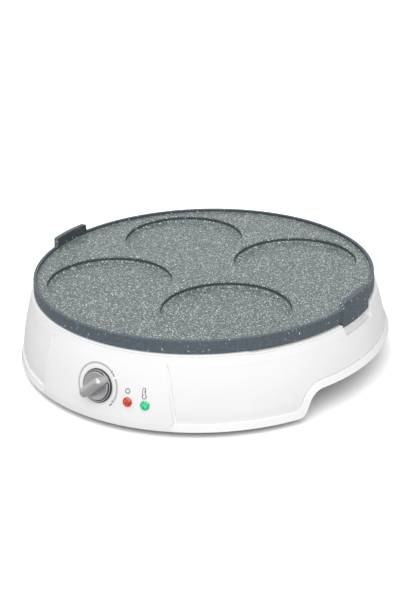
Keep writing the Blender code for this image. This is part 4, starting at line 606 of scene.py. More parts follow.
def plate_tree():
    """Disc turned from its profile, with cups under and recesses in it on a pitch circle."""
    sockets = [
        ("Turning Radius", "Float"),
        ("Facets", "Int"),
        ("Recess Count", "Int"),
        ("Pitch Radius", "Float"),
        ("First Angle", "Float"),
        ("Cup", "Object"),
        ("Recess", "Object"),
        ("Fittings", "Object"),
        ("Material", "Material"),
    ]
    tree, source = geometry_tree("Recessed Turned Plate", sockets)
    profile = add(tree, "GeometryNodeMeshToCurve", [("Mesh", source["Geometry"])])
    lap = add(
        tree,
        "GeometryNodeCurvePrimitiveCircle",
        [("Resolution", source["Facets"]), ("Radius", source["Turning Radius"])],
    )
    skin = add(
        tree,
        "GeometryNodeCurveToMesh",
        [("Curve", lap.outputs["Curve"]), ("Profile Curve", profile.outputs[0])],
    )
    disc = add(
        tree,
        "GeometryNodeMergeByDistance",
        [("Geometry", skin.outputs[0]), ("Distance", 2 * WELD)],
    )
    ring = add(
        tree,
        "GeometryNodeMeshCircle",
        [("Vertices", source["Recess Count"]), ("Radius", source["Pitch Radius"])],
    )
    spin = add(tree, "ShaderNodeCombineXYZ", [("Z", source["First Angle"])])
    stations = add(
        tree,
        "GeometryNodeTransform",
        [("Geometry", ring.outputs[0]), ("Rotation", spin.outputs[0])],
    )
    sets = []
    for label in ("Cup", "Recess"):
        model = add(tree, "GeometryNodeObjectInfo", [("Object", source[label])])
        spread = add(
            tree,
            "GeometryNodeInstanceOnPoints",
            [("Points", stations.outputs[0]), ("Instance", model.outputs["Geometry"])],
        )
        sets.append(add(tree, "GeometryNodeRealizeInstances", [("Geometry", spread.outputs[0])]))
    fittings = add(tree, "GeometryNodeObjectInfo", [("Object", source["Fittings"])])
    whole = add(
        tree,
        "GeometryNodeMeshBoolean",
        [("Mesh 2", disc.outputs[0])],
        operation="UNION",
        solver="EXACT",
    )
    tree.links.new(sets[0].outputs[0], whole.inputs["Mesh 2"])
    tree.links.new(fittings.outputs["Geometry"], whole.inputs["Mesh 2"])
    final = add(
        tree,
        "GeometryNodeMeshBoolean",
        [("Mesh 1", whole.outputs[0]), ("Mesh 2", sets[1].outputs[0])],
        operation="DIFFERENCE",
        solver="EXACT",
    )
    return end_tree(tree, source, final.outputs[0])


# Materials

NOISE_LOW = 0.3
NOISE_HIGH = 0.7
CLOUD_SPREAD = 0.22
CLOUD_DETAIL = 4.0
GRAIN_DETAIL = 2.0
HAZE_DETAIL = 6.0
FLECK_CORE = 0.55
FLECK_RELIEF = 0.6
COATING_IOR = 1.42
LENS_PRISM_MM = 1.3
LENS_PRISM_DEPTH_MM = 0.3
LENS_PRISM_RELIEF = 0.5
# Painted glints: share of the lens colour in the darkest prism cell
LENS_PAINTED_GLINT_DARKEST = 0.35
LENS_ROUGHNESS = 0.12
LENS_IOR = 1.58
# Painted glow: strength of the light that the lenses give off in their own colour
LENS_PAINTED_GLOW = 0.18


def blank(name):
    """Material with an empty tree; returns it, its tree and its Object coordinates."""
    material = bpy.data.materials.new(name)
    material.use_nodes = True
    tree = material.node_tree
    tree.nodes.clear()
    return material, tree, add(tree, "ShaderNodeTexCoord").outputs["Object"]


def noise(tree, spot, size_mm, detail):
    """Cloudy noise with grains of a real size."""
    inputs = [("Vector", spot), ("Scale", MM_PER_M / size_mm), ("Detail", detail)]
    return add(tree, "ShaderNodeTexNoise", inputs).outputs[0]


def cells(tree, spot, size_mm):
    """Cells of a real size; returns a random value of each and the distance from its middle."""
    inputs = [("Vector", spot), ("Scale", MM_PER_M / size_mm)]
    outputs = add(tree, "ShaderNodeTexVoronoi", inputs).outputs
    random = add(tree, "ShaderNodeSeparateColor", [("Color", outputs["Color"])])
    return random.outputs[0], outputs["Distance"]


def ranged(tree, value, *bounds, **settings):
    """Value brought from one range, low and high, into another, 0 to 1 if not given."""
    inputs = list(enumerate((value, *bounds)))
    return add(tree, "ShaderNodeMapRange", inputs, **settings).outputs[0]


def worked_out(tree, operation, first, second):
    """Result of a sum with two values."""
    inputs = [(0, first), (1, second)]
    return add(tree, "ShaderNodeMath", inputs, operation=operation).outputs[0]


def relief(tree, strength, depth_mm, height):
    """Normal of a surface with a fine relief of a real depth."""
    inputs = [("Strength", strength), ("Distance", depth_mm / MM_PER_M), ("Height", height)]
    return add(tree, "ShaderNodeBump", inputs).outputs[0]


def mix(tree, factor, *tones):
    """Colour between two others, each a socket, a hex value or a colour."""
    first, second = (linear(tone) if isinstance(tone, str) else tone for tone in tones)
    node = add(tree, "ShaderNodeMix", [(0, factor), (6, first), (7, second)], data_type="RGBA")
    return node.outputs[2]


def shaded(tone, share):
    """Colour made darker or lighter by a share."""
    return (*(min(1.0, part * share) for part in tuple(tone)[:3]), 1.0)


def close_up(tree, inputs):
    """Ends a tree in its surface shader."""
    shader = add(tree, "ShaderNodeBsdfPrincipled", inputs)
    add(tree, "ShaderNodeOutputMaterial", [("Surface", shader.outputs[0])])


def grained(name, tones, grain_mm, roughness, bump_mm=0.0, contrast=1.0, **shader):
    """Plain finish: two tones clouded by noise, uneven gloss and a fine surface grain."""
    material, tree, spot = blank(name)
    cloud = noise(tree, spot, grain_mm[0], CLOUD_DETAIL)
    grain = noise(tree, spot, grain_mm[1], GRAIN_DETAIL)
    spread = CLOUD_SPREAD / contrast
    share = ranged(tree, cloud, 0.5 - spread, 0.5 + spread)
    gloss = ranged(tree, grain, NOISE_LOW, NOISE_HIGH, *roughness)
    inputs = [("Base Color", mix(tree, share, *tones)), ("Roughness", gloss)]
    if bump_mm:
        inputs.append(("Normal", relief(tree, 1.0, bump_mm, grain)))
    close_up(tree, inputs + list(shader.items()))
    return material


def flecked(name, ground, cloud, flecks, stretch, roughness, bump_mm):
    """Sprayed coating: a clouded ground with layers of flecks of real sizes.

    The cloud is (darkest share, lightest share, size in mm) of the ground's colour. Each fleck
    layer is (cell in mm, share of cells, reach in cells, colour).
    """
    material, tree, spot = blank(name)
    darkest, lightest, cloud_mm = cloud
    haze = noise(tree, spot, cloud_mm, HAZE_DETAIL)
    share = ranged(tree, haze, NOISE_LOW, NOISE_HIGH)
    shade = mix(tree, share, shaded(ground, darkest), shaded(ground, lightest))
    scale = (1.0, 1.0, 1.0 / stretch)
    stretched = add(tree, "ShaderNodeMapping", [("Vector", spot), ("Scale", scale)])
    height = 0.0
    for cell_mm, chance, reach, tint in flecks:
        random, distance = cells(tree, stretched.outputs[0], cell_mm)
        picked = worked_out(tree, "GREATER_THAN", random, 1 - chance)
        bounds = (reach * FLECK_CORE, reach, 1.0, 0.0)
        blob = ranged(tree, distance, *bounds, interpolation_type="SMOOTHSTEP")
        mask = worked_out(tree, "MULTIPLY", picked, blob)
        shade = mix(tree, mask, shade, tint)
        height = worked_out(tree, "MAXIMUM", height, mask)
    inputs = [
        ("Base Color", shade),
        ("Roughness", ranged(tree, haze, NOISE_LOW, NOISE_HIGH, *roughness)),
        ("Normal", relief(tree, FLECK_RELIEF, bump_mm, height)),
        ("IOR", COATING_IOR),
    ]
    close_up(tree, inputs)
    return material


def lens_plastic_with_painted_glints(name, tint, bright):
    """Tinted polycarbonate with small prisms inside: each prism's colour is set lighter or darker
    as painted glints, and the lens gives off a faint painted glow of the same colour.
    """
    material, tree, spot = blank(name)
    random, distance = cells(tree, spot, LENS_PRISM_MM)
    # Painted glints: each prism cell's colour set between the tint and a bright tone
    shade = mix(tree, ranged(tree, random, LENS_PAINTED_GLINT_DARKEST, 1.0), tint, bright)
    inputs = [
        ("Base Color", shade),
        ("Roughness", LENS_ROUGHNESS),
        ("IOR", LENS_IOR),
        ("Normal", relief(tree, LENS_PRISM_RELIEF, LENS_PRISM_DEPTH_MM, distance)),
        ("Emission Color", shade),
        ("Emission Strength", LENS_PAINTED_GLOW),
    ]
    close_up(tree, inputs)
    return material


def make_finishes(tones):
    """Every finish of the object, named for its real material and process, and for the painted
    shade or glints that a finish carries.
    """
    finishes = {
        # Gloss ABS from a polished mould: even white, only faint clouding and soft reflections
        "gloss_abs": grained(
            "injection_moulded_gloss_ABS",
            (tones.housing, "#F1F1F2"),
            (60.0, 0.8),
            (0.20, 0.27),
            bump_mm=0.003,
            IOR=1.53,
        ),
        # Sprayed stone-effect non-stick coating: grey-green ground, cream, white and dark chips
        "stone": flecked(
            "sprayed_stone_effect_coating",
            tones.stone,
            (0.32, 1.75, 0.9),
            (
                (1.3, 0.38, 0.56, "#1F2729"),
                (1.0, 0.34, 0.52, "#A6B1B1"),
                (1.4, 0.26, 0.44, "#E2E9E8"),
                (2.4, 0.14, 0.28, "#F8FAF6"),
                (3.6, 0.06, 0.24, "#C6AC9A"),
            ),
            1.0,
            (0.34, 0.46),
            0.03,
        ),
        # The same coating on steep sides, which the spray of chips hardly reaches: darker, plainer
        "slate": flecked(
            "sprayed_slate_coating",
            tones.slate,
            (0.80, 1.20, 2.2),
            (
                (1.3, 0.14, 0.30, "#7C878D"),
                (1.7, 0.12, 0.25, "#B3BDC2"),
                (2.2, 0.15, 0.22, "#EDF1F2"),
            ),
            2.4,
            (0.54, 0.66),
            0.02,
        ),
        # The same coating on the inner steep sides, darkened as painted shade where the recess
        # walls, the rim's inside and the lugs' insides lie in shade, with a few chips
        "painted_shade_slate": flecked(
            "thin_sprayed_slate_coating",
            tones.painted_shade_tone,
            (0.75, 1.35, 1.6),
            (
                (1.5, 0.22, 0.38, "#6C777A"),
                (2.2, 0.11, 0.28, "#C4CCCE"),
            ),
            1.5,
            (0.42, 0.54),
            0.02,
        ),
        # Bare die-cast aluminium under the plate: dull, cloudy skin of the die
        "cast": grained(
            "die_cast_aluminium",
            ("#8F9193", "#A6A8AA"),
            (14.0, 0.5),
            (0.42, 0.58),
            bump_mm=0.03,
            Metallic=1.0,
        ),
        # Silver lacquer over ABS: fine flake that sparkles slightly
        "silver": grained(
            "silver_lacquered_ABS",
            (tones.silver, "#BCBCBE"),
            (0.35, 0.25),
            (0.22, 0.30),
            bump_mm=0.004,
            Metallic=0.8,
        ),
        # Vacuum-chromed trim: darker and sharper than the lacquer
        "chrome": grained(
            "vacuum_chromed_ABS",
            ("#B9BABC", "#C6C7C9"),
            (6.0, 0.4),
            (0.10, 0.18),
            Metallic=1.0,
        ),
        # Tinted polycarbonate: deep colour, with painted glints where each small prism inside is
        # set lighter or darker, and a faint painted glow
        "red": lens_plastic_with_painted_glints("tinted_polycarbonate_red", tones.red, "#E0563A"),
        "green": lens_plastic_with_painted_glints("tinted_polycarbonate_green", tones.green, "#4EE0AA"),
        # Pad-printed ink: thin, matt, a little uneven
        "ink": grained(
            "pad_printed_ink",
            (tones.ink, "#B2B3B5"),
            (1.2, 0.3),
            (0.50, 0.62),
        ),
        # A second, heavier print for the icons and ticks: darker, as matt as the first
        "dark_ink": grained(
            "pad_printed_dark_ink",
            ("#7C7E81", "#898B8D"),
            (1.2, 0.3),
            (0.50, 0.62),
        ),
        # Polypropylene cover with an eroded texture: dark grey, dull, softly speckled
        "cover": grained(
            "eroded_texture_polypropylene",
            (tones.cover, "#555759"),
            (9.0, 0.9),
            (0.50, 0.68),
            bump_mm=0.06,
        ),
        # Nitrile rubber: dull black with a bloom
        "rubber": grained(
            "moulded_nitrile_rubber",
            ("#232324", "#303031"),
            (5.0, 0.6),
            (0.66, 0.82),
            bump_mm=0.03,
        ),
        # Glass-filled nylon: black with a dull gloss
        "nylon": grained(
            "moulded_black_nylon",
            ("#1C1C1D", "#28282A"),
            (7.0, 0.5),
            (0.40, 0.52),
            bump_mm=0.02,
        ),
        # Aluminised sheet steel: bright, cloudy rolled surface
        "shield": grained(
            "pressed_aluminised_steel",
            ("#A3A5A7", "#BDBFC1"),
            (18.0, 0.7),
            (0.30, 0.42),
            bump_mm=0.01,
            Metallic=1.0,
        ),
        # Alloy sheath of the element: dark, with straw and blue heat tints
        "sheath": grained(
            "heat_tinted_alloy_sheath",
            ("#6E655A", "#585C64"),
            (26.0, 0.4),
            (0.38, 0.52),
            bump_mm=0.01,
            Metallic=1.0,
        ),
        # Zinc-plated steel: pale and even, with soft reflections
        "zinc": grained(
            "zinc_plated_steel",
            ("#B4B7BA", "#C6C8CB"),
            (3.0, 0.3),
            (0.22, 0.34),
            bump_mm=0.004,
            Metallic=1.0,
        ),
        # Turned brass: warm yellow with soft reflections
        "brass": grained(
            "turned_brass",
            ("#C39C4C", "#D3AE61"),
            (3.0, 0.3),
            (0.24, 0.36),
            Metallic=1.0,
        ),
        # Drawn copper: reddish, a little dulled by handling
        "copper": grained(
            "drawn_copper",
            ("#A9643F", "#BE7C55"),
            (5.0, 0.3),
            (0.28, 0.42),
            Metallic=1.0,
        ),
        # Fired steatite: cream, matt, faintly clouded
        "steatite": grained(
            "fired_steatite",
            ("#DCD6C8", "#EAE5D9"),
            (3.0, 0.4),
            (0.45, 0.60),
            bump_mm=0.02,
        ),
        # Drawn glass over the neon's electrodes: pale and very smooth
        "glass": grained(
            "drawn_lamp_glass",
            ("#CFC6BB", "#E3DCD3"),
            (2.0, 0.5),
            (0.05, 0.12),
            IOR=1.5,
        ),
        # The earth lead's silicone: green with yellow blotches, where the real one has stripes
        "earth": grained(
            "extruded_silicone_green_yellow",
            ("#3C7A2E", "#C9B72E"),
            (5.0, 0.5),
            (0.42, 0.56),
            contrast=6.0,
        ),
    }
    # Extruded silicone of the other leads: plain colour with a dull gloss
    for key, dark, light in (
        ("brown", "#4A2C1B", "#5A3724"),
        ("blue", "#23447F", "#2D5292"),
        ("grey", "#7E8082", "#8E9092"),
    ):
        name = "extruded_silicone_" + key
        finishes[key] = grained(name, (dark, light), (4.0, 0.5), (0.42, 0.56))
    return finishes


FINISH = {}


# Housing

SCOOP_LOW_STEPS = 8
SCOOP_HIGH_STEPS = 12
WALL_STRAIGHT = 0.45
WALL_BOWED = 0.55
PANEL_FOOT_HEIGHT = 0.0080
GROOVE_FALL = 0.2
GROOVE_RISE = 0.8
GROOVE_FADE = 0.0060
PANEL_SIDE_DEG = 1.8
PANEL_SIDE_STEP_DEG = 0.08
RELIEF_RAMP_DEG = 0.3
OUTSIDE_DEG = -1.0
LIP_ROUND = 0.0004
LIP_ROUND_STEPS = 3
LIP_ROWS = (0.25, 0.5, 0.75)
LIP_FILLET = 0.0002
LIP_FILLET_STEPS = 4
RIM_ROUND_STEPS = 7
GROOVE_TOP = 0.0005
WALL_START = 0.0008
# Both end in a half, so that rounding never adds a row
WALL_ROWS = 14.5
PANEL_CORNER_ROWS = 9.5
# Drop under the rim's rounding and share of the groove's depth
RIM_GROOVE_ROWS = ((0.00090, 0.0), (0.00075, 1.0), (0.00030, 1.0), (0.00015, 0.0))
LAND_ROUND = 0.0002
UNDER_RIM = 0.0012
INNER_ROWS = 8
NOTCH_OVERRUN = 0.0030
NOTCH_REACH = 0.0100
NOTCH_BACK_RADIUS = 0.1440
CHEEK_GAP = 0.0001
CHEEK_OVERLAP = 0.0018
CHEEK_INSET = 0.0008
CHEEK_STEP = 0.0012
KNOB_NECK_HOLE = 0.0048
HOLE_INWARD = 0.0060
HOLE_OUTWARD = 0.0030
INNER_ROUND = 0.0004
SCREEN_WALL = 0.0020
LEDGE_OVERLAP = 0.0010
SHIELD_SCREW_DEG = 45.0
THREAD_BITE = 0.0002
BORE_DEPTH = 0.0080


def wall_radius(h, z):
    """Outer radius of the leaning wall at a height."""
    flange_z = h.foot_rise + h.flange_height
    rim_z = h.foot_rise + h.wall_height
    share = max(0.0, (z - flange_z) / (rim_z - flange_z))
    return h.rim_radius + h.lean * (1 - WALL_STRAIGHT * share - WALL_BOWED * share * share)


def panel_top(h):
    """Height of the panel's top edge."""
    return h.foot_rise + h.wall_height - h.panel_top_drop


def panel_proud(h, z):
    """How far the control panel stands off the wall at a height, flush with the lip at its foot."""
    flange_z = h.foot_rise + h.flange_height
    share = max(0.0, min(1.0, (panel_top(h) - z) / (panel_top(h) - flange_z)))
    up_lip = max(0.0, min(1.0, (z - h.foot_rise) / h.flange_height))
    at_foot = h.flange_proud - h.panel_proud - h.panel_foot_lean * up_lip * up_lip
    return h.panel_proud * share + at_foot * (1 - ease((z - flange_z) / PANEL_FOOT_HEIGHT))


def wall_cove(h, z):
    """How far the plain wall stands off its leaning line: drawn in over the lip."""
    share = (z - h.foot_rise - h.flange_height) / h.cove_height
    return -h.cove * (1 - max(0.0, min(1.0, share))) ** 2


def panel_depth(h, inset_deg, z):
    """How far a point lies inside the panel's rounded outline; negative outside."""
    side = math.radians(inset_deg) * wall_radius(h, z)
    under = panel_top(h) - z
    if side < h.panel_corner and under < h.panel_corner:
        return h.panel_corner - math.hypot(h.panel_corner - side, h.panel_corner - under)
    return min(side, under)


def panel_stand(h, inset_deg, z):
    """How far the face stands off the plain wall: panel, its edge, and the groove beside it."""
    depth = panel_depth(h, inset_deg, z)
    plain = wall_cove(h, z)
    raised = (panel_proud(h, z) - plain) * ease(depth / h.panel_edge) + plain
    across = max(0.0, min(1.0, -depth / h.panel_groove_width))
    hollow = ease(across / GROOVE_FALL) * ease((1 - across) / GROOVE_RISE)
    return raised - h.panel_groove * hollow * ease((panel_top(h) - z) / GROOVE_FADE)


def wall_frame(h, deg, z, on_panel=False):
    """Frame on the wall's outer face: X along it, Y up it and Z straight out."""
    probe = h.wall / 2
    radii = []
    for height in (z - probe, z, z + probe):
        radii.append(wall_radius(h, height) + (panel_proud(h, height) if on_panel else 0))
    lean = math.degrees(math.atan2(radii[0] - radii[2], 2 * probe))
    return Matrix.Translation(polar(radii[1], deg, z)) @ turn(deg + 90) @ turn(90 - lean, "X")


def round_outline(radius, count, x=0.0, y=0.0):
    """Outline of a circle."""
    angles = even(0.0, math.tau, math.tau / count)
    return [(x + radius * math.cos(a), y + radius * math.sin(a)) for a in angles]


def even(start, end, step):
    """Values from one end up to the other in even steps, the last one left out."""
    count = max(1, math.ceil(abs(end - start) / step))
    return [start + (end - start) * i / count for i in range(count)]


def scoop_end(h):
    """Lower edge where it sweeps up into a scoop: run along the wall, rise and slope."""
    slope = math.radians(h.scoop_slope_deg)
    low, high = h.scoop_low_radius, h.scoop_high_radius
    low_rise = low * (1 - math.cos(slope))
    high_rise = high * (1 - math.cos(slope))
    straight = (h.scoop_rise - low_rise - high_rise) / math.tan(slope)
    stations = []
    for i in range(SCOOP_LOW_STEPS + 1):
        a = slope * i / SCOOP_LOW_STEPS
        stations.append((low * math.sin(a), low * (1 - math.cos(a)), a))
    for i in range(SCOOP_HIGH_STEPS + 1):
        a = slope * (1 - i / SCOOP_HIGH_STEPS)
        run = low * math.sin(slope) + straight + high * (math.sin(slope) - math.sin(a))
        stations.append((run, h.scoop_rise - high * (1 - math.cos(a)), a))
    return stations


def housing_columns(h):
    """Columns of the right half from front to rear.

    Each is (angle at the foot, angle at the rim, rise, slope, angle inside the panel's edge).
    """
    step = h.column_deg
    columns = []
    outer = -math.degrees(h.panel_groove_width / h.rim_radius)
    insets = even(h.panel_low_deg, PANEL_SIDE_DEG, step)
    insets += even(PANEL_SIDE_DEG, outer, PANEL_SIDE_STEP_DEG) + [outer]
    for inset in insets:
        share = 1 - inset / h.panel_low_deg
        low, top = FRONT + h.panel_low_deg * share, FRONT + h.panel_top_deg * share
        columns.append((low, top, 0.0, 0.0, inset))
    low_start, top_start = columns[-1][0], columns[-1][1]
    span = h.scoop_front_deg - low_start
    ramp = [RELIEF_RAMP_DEG * share - h.relief_deg for share in (-1, 0, 1)]
    marks = even(low_start, ramp[0], step)[1:] + ramp
    marks += even(ramp[-1], h.scoop_front_deg, step)[1:]
    for deg in marks:
        share = (deg - low_start) / span
        top = top_start + (h.scoop_front_deg - top_start) * share
        columns.append((deg, top, 0.0, 0.0, OUTSIDE_DEG))
    reach = wall_radius(h, 0) + h.flange_proud
    sweep = [(math.degrees(run / reach), rise, a) for run, rise, a in scoop_end(h)]
    for deg, rise, a in sweep:
        columns.append((h.scoop_front_deg + deg, None, rise, a, OUTSIDE_DEG))
    start = h.scoop_front_deg + sweep[-1][0]
    end = h.scoop_rear_deg - sweep[-1][0]
    for deg in even(start, end, step)[1:]:
        columns.append((deg, deg, h.scoop_rise, 0.0, OUTSIDE_DEG))
    for deg, rise, a in reversed(sweep):
        columns.append((h.scoop_rear_deg - deg, None, rise, -a, OUTSIDE_DEG))
    for deg in even(h.scoop_rear_deg, REAR, step)[1:] + [REAR]:
        columns.append((deg, deg, 0.0, 0.0, OUTSIDE_DEG))
    return columns


def housing_section(h, column):
    """Closed section of the moulding at one column, from its lower edge round to the inside."""
    low_deg, top_deg, rise, slope, inset_deg = column
    reach = wall_radius(h, 0) + h.flange_proud
    edge_z = h.foot_rise + rise
    face = h.flange_proud

    def on_edge(s, offset):
        z = edge_z + s * math.cos(slope)
        deg = low_deg - math.degrees(s * math.sin(slope) / reach)
        return polar(wall_radius(h, z) + offset, deg, z)

    def on_lip(s, offset):
        z = edge_z + s * math.cos(slope)
        width = h.panel_edge if s > h.flange_height else h.lip_end
        share = ease(panel_depth(h, inset_deg, z) / width) if s > LIP_ROUND else 0.0
        return on_edge(s, offset + (panel_proud(h, z) - offset) * share)

    section = []
    for a in quarter(LIP_ROUND_STEPS):
        s = LIP_ROUND * (1 - math.cos(a))
        section.append(on_lip(s, face - LIP_ROUND * (1 - math.sin(a))))
    brow = face - h.flange_lean
    for share in LIP_ROWS:
        section.append(on_lip(h.flange_height * share, face - h.flange_lean * share))
    for a in quarter(LIP_FILLET_STEPS):
        s = h.flange_height - LIP_FILLET * (1 - math.sin(a))
        section.append(on_lip(s, brow - LIP_FILLET * (1 - math.cos(a))))
    joined = ease(panel_depth(h, inset_deg, edge_z + h.flange_height) / h.panel_edge)
    for step in (-h.flange_undercut * (1 - joined), GROOVE_TOP):
        section.append(on_lip(h.flange_height + step, -h.cove - h.flange_groove))
    foot_s = h.flange_height + WALL_START
    foot_z = edge_z + foot_s * math.cos(slope)
    section.append(on_lip(foot_s, wall_cove(h, foot_z)))
    foot_deg = low_deg - math.degrees(foot_s * math.sin(slope) / reach)
    if top_deg is None:
        top_deg = foot_deg
    lowered = ease((h.relief_deg + RELIEF_RAMP_DEG - abs(top_deg)) / (2 * RELIEF_RAMP_DEG))
    rim_z = h.foot_rise + h.wall_height - h.relief * lowered
    corner_z = rim_z - h.rim_round
    panel_z = panel_top(h)
    bend_z = panel_z - h.panel_corner
    heights = even(foot_z, bend_z, (bend_z - foot_z) / WALL_ROWS)[1:]
    heights += even(bend_z, panel_z, h.panel_corner / PANEL_CORNER_ROWS)
    heights += [panel_z, (panel_z + corner_z) / 2]
    for z in heights:
        deg = foot_deg + (top_deg - foot_deg) * (z - foot_z) / (corner_z - foot_z)
        section.append(polar(wall_radius(h, z) + panel_stand(h, inset_deg, z), deg, z))
    for drop, depth in RIM_GROOVE_ROWS:
        z = corner_z - drop
        section.append(polar(wall_radius(h, z) - h.rim_groove * depth, top_deg, z))
    corner_radius = wall_radius(h, corner_z) - h.rim_round
    for a in quarter(RIM_ROUND_STEPS):
        r = corner_radius + h.rim_round * math.cos(a)
        section.append(polar(r, top_deg, corner_z + h.rim_round * math.sin(a)))
    land = h.rim_radius - h.rim_land
    section.append(polar(land + LAND_ROUND, top_deg, rim_z))
    section.append(polar(land, top_deg, rim_z - LAND_ROUND))
    section.append(polar(land, top_deg, rim_z - h.wall))
    under_z = rim_z - h.wall - UNDER_RIM
    inner_s = h.flange_height - h.wall
    inner_z = edge_z + inner_s * math.cos(slope)
    inner_deg = low_deg - math.degrees(inner_s * math.sin(slope) / reach)
    for i in range(INNER_ROWS + 1):
        z = under_z + (inner_z - under_z) * i / INNER_ROWS
        deg = top_deg + (inner_deg - top_deg) * i / INNER_ROWS
        section.append(polar(wall_radius(h, z) + panel_stand(h, inset_deg, z) - h.wall, deg, z))
    section.append(on_edge(inner_s, h.flange_proud - h.wall))
    section.append(on_edge(0.0, h.flange_proud - h.wall))
    return section


def notch_tool(h, outer_reach):
    """Block that cuts a lug's notch, along +X."""
    floor = h.foot_rise + h.wall_height - h.notch_depth
    top = h.foot_rise + h.wall_height + NOTCH_OVERRUN
    corners = [
        (h.notch_top_half, top, 0),
        (-h.notch_top_half, top, 0),
        (-h.notch_floor_half, floor, h.notch_corner),
        (h.notch_floor_half, floor, h.notch_corner),
    ]
    outline = softened(corners, 6, closed=True)
    upright = Matrix(((0, 0, 1, 0), (1, 0, 0, 0), (0, 1, 0, 0), (0, 0, 0, 1)))
    return slab("notch", outline, NOTCH_BACK_RADIUS, outer_reach, upright)


def arc_block(name, inner, outer, low, high, half_deg, steps=24, middle_deg=0.0):
    """Curved block between two radii."""
    columns = []
    corners = [(inner, low), (outer, low), (outer, high), (inner, high)]
    for i in range(steps + 1):
        deg = middle_deg + half_deg * (2 * i / steps - 1)
        columns.append([polar(radius, deg, z) for radius, z in corners])
    return capped(name, columns)


def cheek(h, low, high, side):
    """Wall that closes one side of the notch on +X behind the opening's edge."""
    slant = (h.notch_top_half - h.notch_floor_half) / h.notch_depth
    floor_z = h.foot_rise + h.wall_height - h.notch_depth
    loops = []
    for z in even(low, high, CHEEK_STEP) + [high]:
        near = h.notch_floor_half + slant * (z - floor_z) + CHEEK_GAP
        far = near + h.cheek
        back = h.screen_radius - CHEEK_OVERLAP
        reach = wall_radius(h, z) - CHEEK_INSET
        loop = [(back, near), (math.sqrt(reach**2 - near**2), near)]
        loop += [(math.sqrt(reach**2 - far**2), far), (back, far)]
        loops.append([Vector((x, side * y, z)) for x, y in loop])
    return capped("cheek", loops)


class CREPE_OT_housing(bpy.types.Operator):
    """Builds the moulded housing with its panel, scoops, rim, notches and inner ledge"""

    bl_idname = "crepe.housing"
    bl_label = "Build Housing"

    def execute(self, context):
        h = context.scene.crepe_housing
        c = context.scene.crepe_controls
        g = context.scene.crepe_heating
        u = context.scene.crepe_underside
        half = [housing_section(h, column) for column in housing_columns(h)]
        left = [[Vector((-p.x, p.y, p.z)) for p in section] for section in half[-2:0:-1]]
        shell = cleaned(grid("housing", half + left, closed_columns=True, closed_rows=True))
        notch = notch_tool(h, wall_radius(h, 0) + NOTCH_REACH)
        holes = []
        for deg, z, radius, on_panel in (
            (FRONT, c.knob_z, KNOB_NECK_HOLE, True),
            (c.red_deg, c.red_z, c.stem_radius + SLIP, True),
            (c.green_deg, c.green_z, c.stem_radius + SLIP, True),
            (REAR, u.gland_z, u.gland_neck + SLIP, False),
        ):
            outline = round_outline(radius, POST_STEPS)
            place = wall_frame(h, deg, z, on_panel)
            holes.append(slab("hole", outline, -HOLE_INWARD, HOLE_OUTWARD, place))
        shell = cut(shell, [merged([notch], (Matrix(), turn(180))), merged(holes)])
        piece("housing", shell, [FINISH["gloss_abs"]], "base", ["base_shell"])

        ledge_z = h.foot_rise + h.wall_height - h.notch_depth
        outer = wall_radius(h, ledge_z) - h.wall + SLIP
        corners = [
            (h.ledge_radius, ledge_z, INNER_ROUND),
            (outer, ledge_z, 0),
            (outer, ledge_z - h.ledge_height, 0),
            (h.ledge_radius, ledge_z - h.ledge_height, INNER_ROUND),
        ]
        ledge = turned("ledge", softened(corners, 3, closed=True), WIDE_STEPS, closed=True)
        screen = arc_block(
            "screen",
            h.screen_radius - SCREEN_WALL,
            h.screen_radius,
            ledge_z - h.ledge_height / 2,
            ledge_z + h.screen_height,
            h.screen_deg,
        )
        rim_z = h.foot_rise + h.wall_height - h.relief
        sunk_z = ledge_z - LEDGE_OVERLAP
        cheeks = [cheek(h, sunk_z, rim_z - h.rim_round, side) for side in SIDES]
        screens = merged([bevelled(screen, INNER_ROUND)] + cheeks, (Matrix(), turn(180)))
        posts = four_corners(u.post_circle, u.post_front_deg, u.post_rear_deg, 0.0)
        bosses = four_corners(g.screw_circle, -SHIELD_SCREW_DEG, SHIELD_SCREW_DEG, 0.0)
        bore = u.screw_radius - THREAD_BITE
        stands = []
        for places, radius, low in (
            (posts, h.post_radius, h.post_low),
            (bosses, h.boss_radius, h.boss_low),
        ):
            bore_z = low + BORE_DEPTH
            corners = [
                (bore, low, 0),
                (radius, low, SLIP),
                (radius - SLIP, sunk_z, 0),
                (0, sunk_z, 0),
                (0, bore_z, 0),
                (bore, bore_z, 0),
            ]
            stand = turned("stand", softened(corners, 3), POST_STEPS, closed=True)
            stands.append(merged([stand], [Matrix.Translation(place) for place in places]))
        inside = merged([ledge, screens] + stands)
        piece("housing_ledge", inside, [FINISH["gloss_abs"]], "base")
        return {"FINISHED"}


# Cooking plate

LUG_CORNER_STEPS = 6
LUG_MIDDLE_ROWS = (0.3, 0.5, 0.7)
LUG_STEPS = 28
LUG_EDGE = 0.0010
LUG_BITE = 0.0001
LUG_SUNK = 0.0010
PLATE_FACETS = 240
RIM_INNER_ROUND = 0.0006
RIM_OUTER_ROUND = 0.0008
RIM_DRAFT = 0.0002
BAND_ROUND = 0.0005
FITTING_OVERLAP = 0.0012
CUP_ROUND = 0.0014
RECESS_OVERRUN = 0.0030
RECESS_MOUTH = 0.0006
RECESS_BREAK = 0.0008
RECESS_DRAFT = 0.0009
# The fourth coating is the slate darkened as painted shade for the inner steep sides
COATINGS = ("stone", "slate", "cast", "painted_shade_slate")
STONE, SLATE, CAST, PAINTED_SHADE_SLATE = range(len(COATINGS))
# Parts of a face's normal: up, on the flat parts and the steep ones, and along or down
FLAT = 0.6
STEEP = 0.34
ASIDE = 0.5
# How far a face's middle may lie off the surface that it belongs to
TOP_MARGIN = 0.0002
LUG_MARGIN = 0.0004
RIM_MARGIN = 0.0010
RECESS_MARGIN = 0.0008
FLOOR_MARGIN = 0.0004
WEB_MARGIN = 0.0001
CAST_MARGIN = 0.0003
NEAR_AXIS = 0.0010


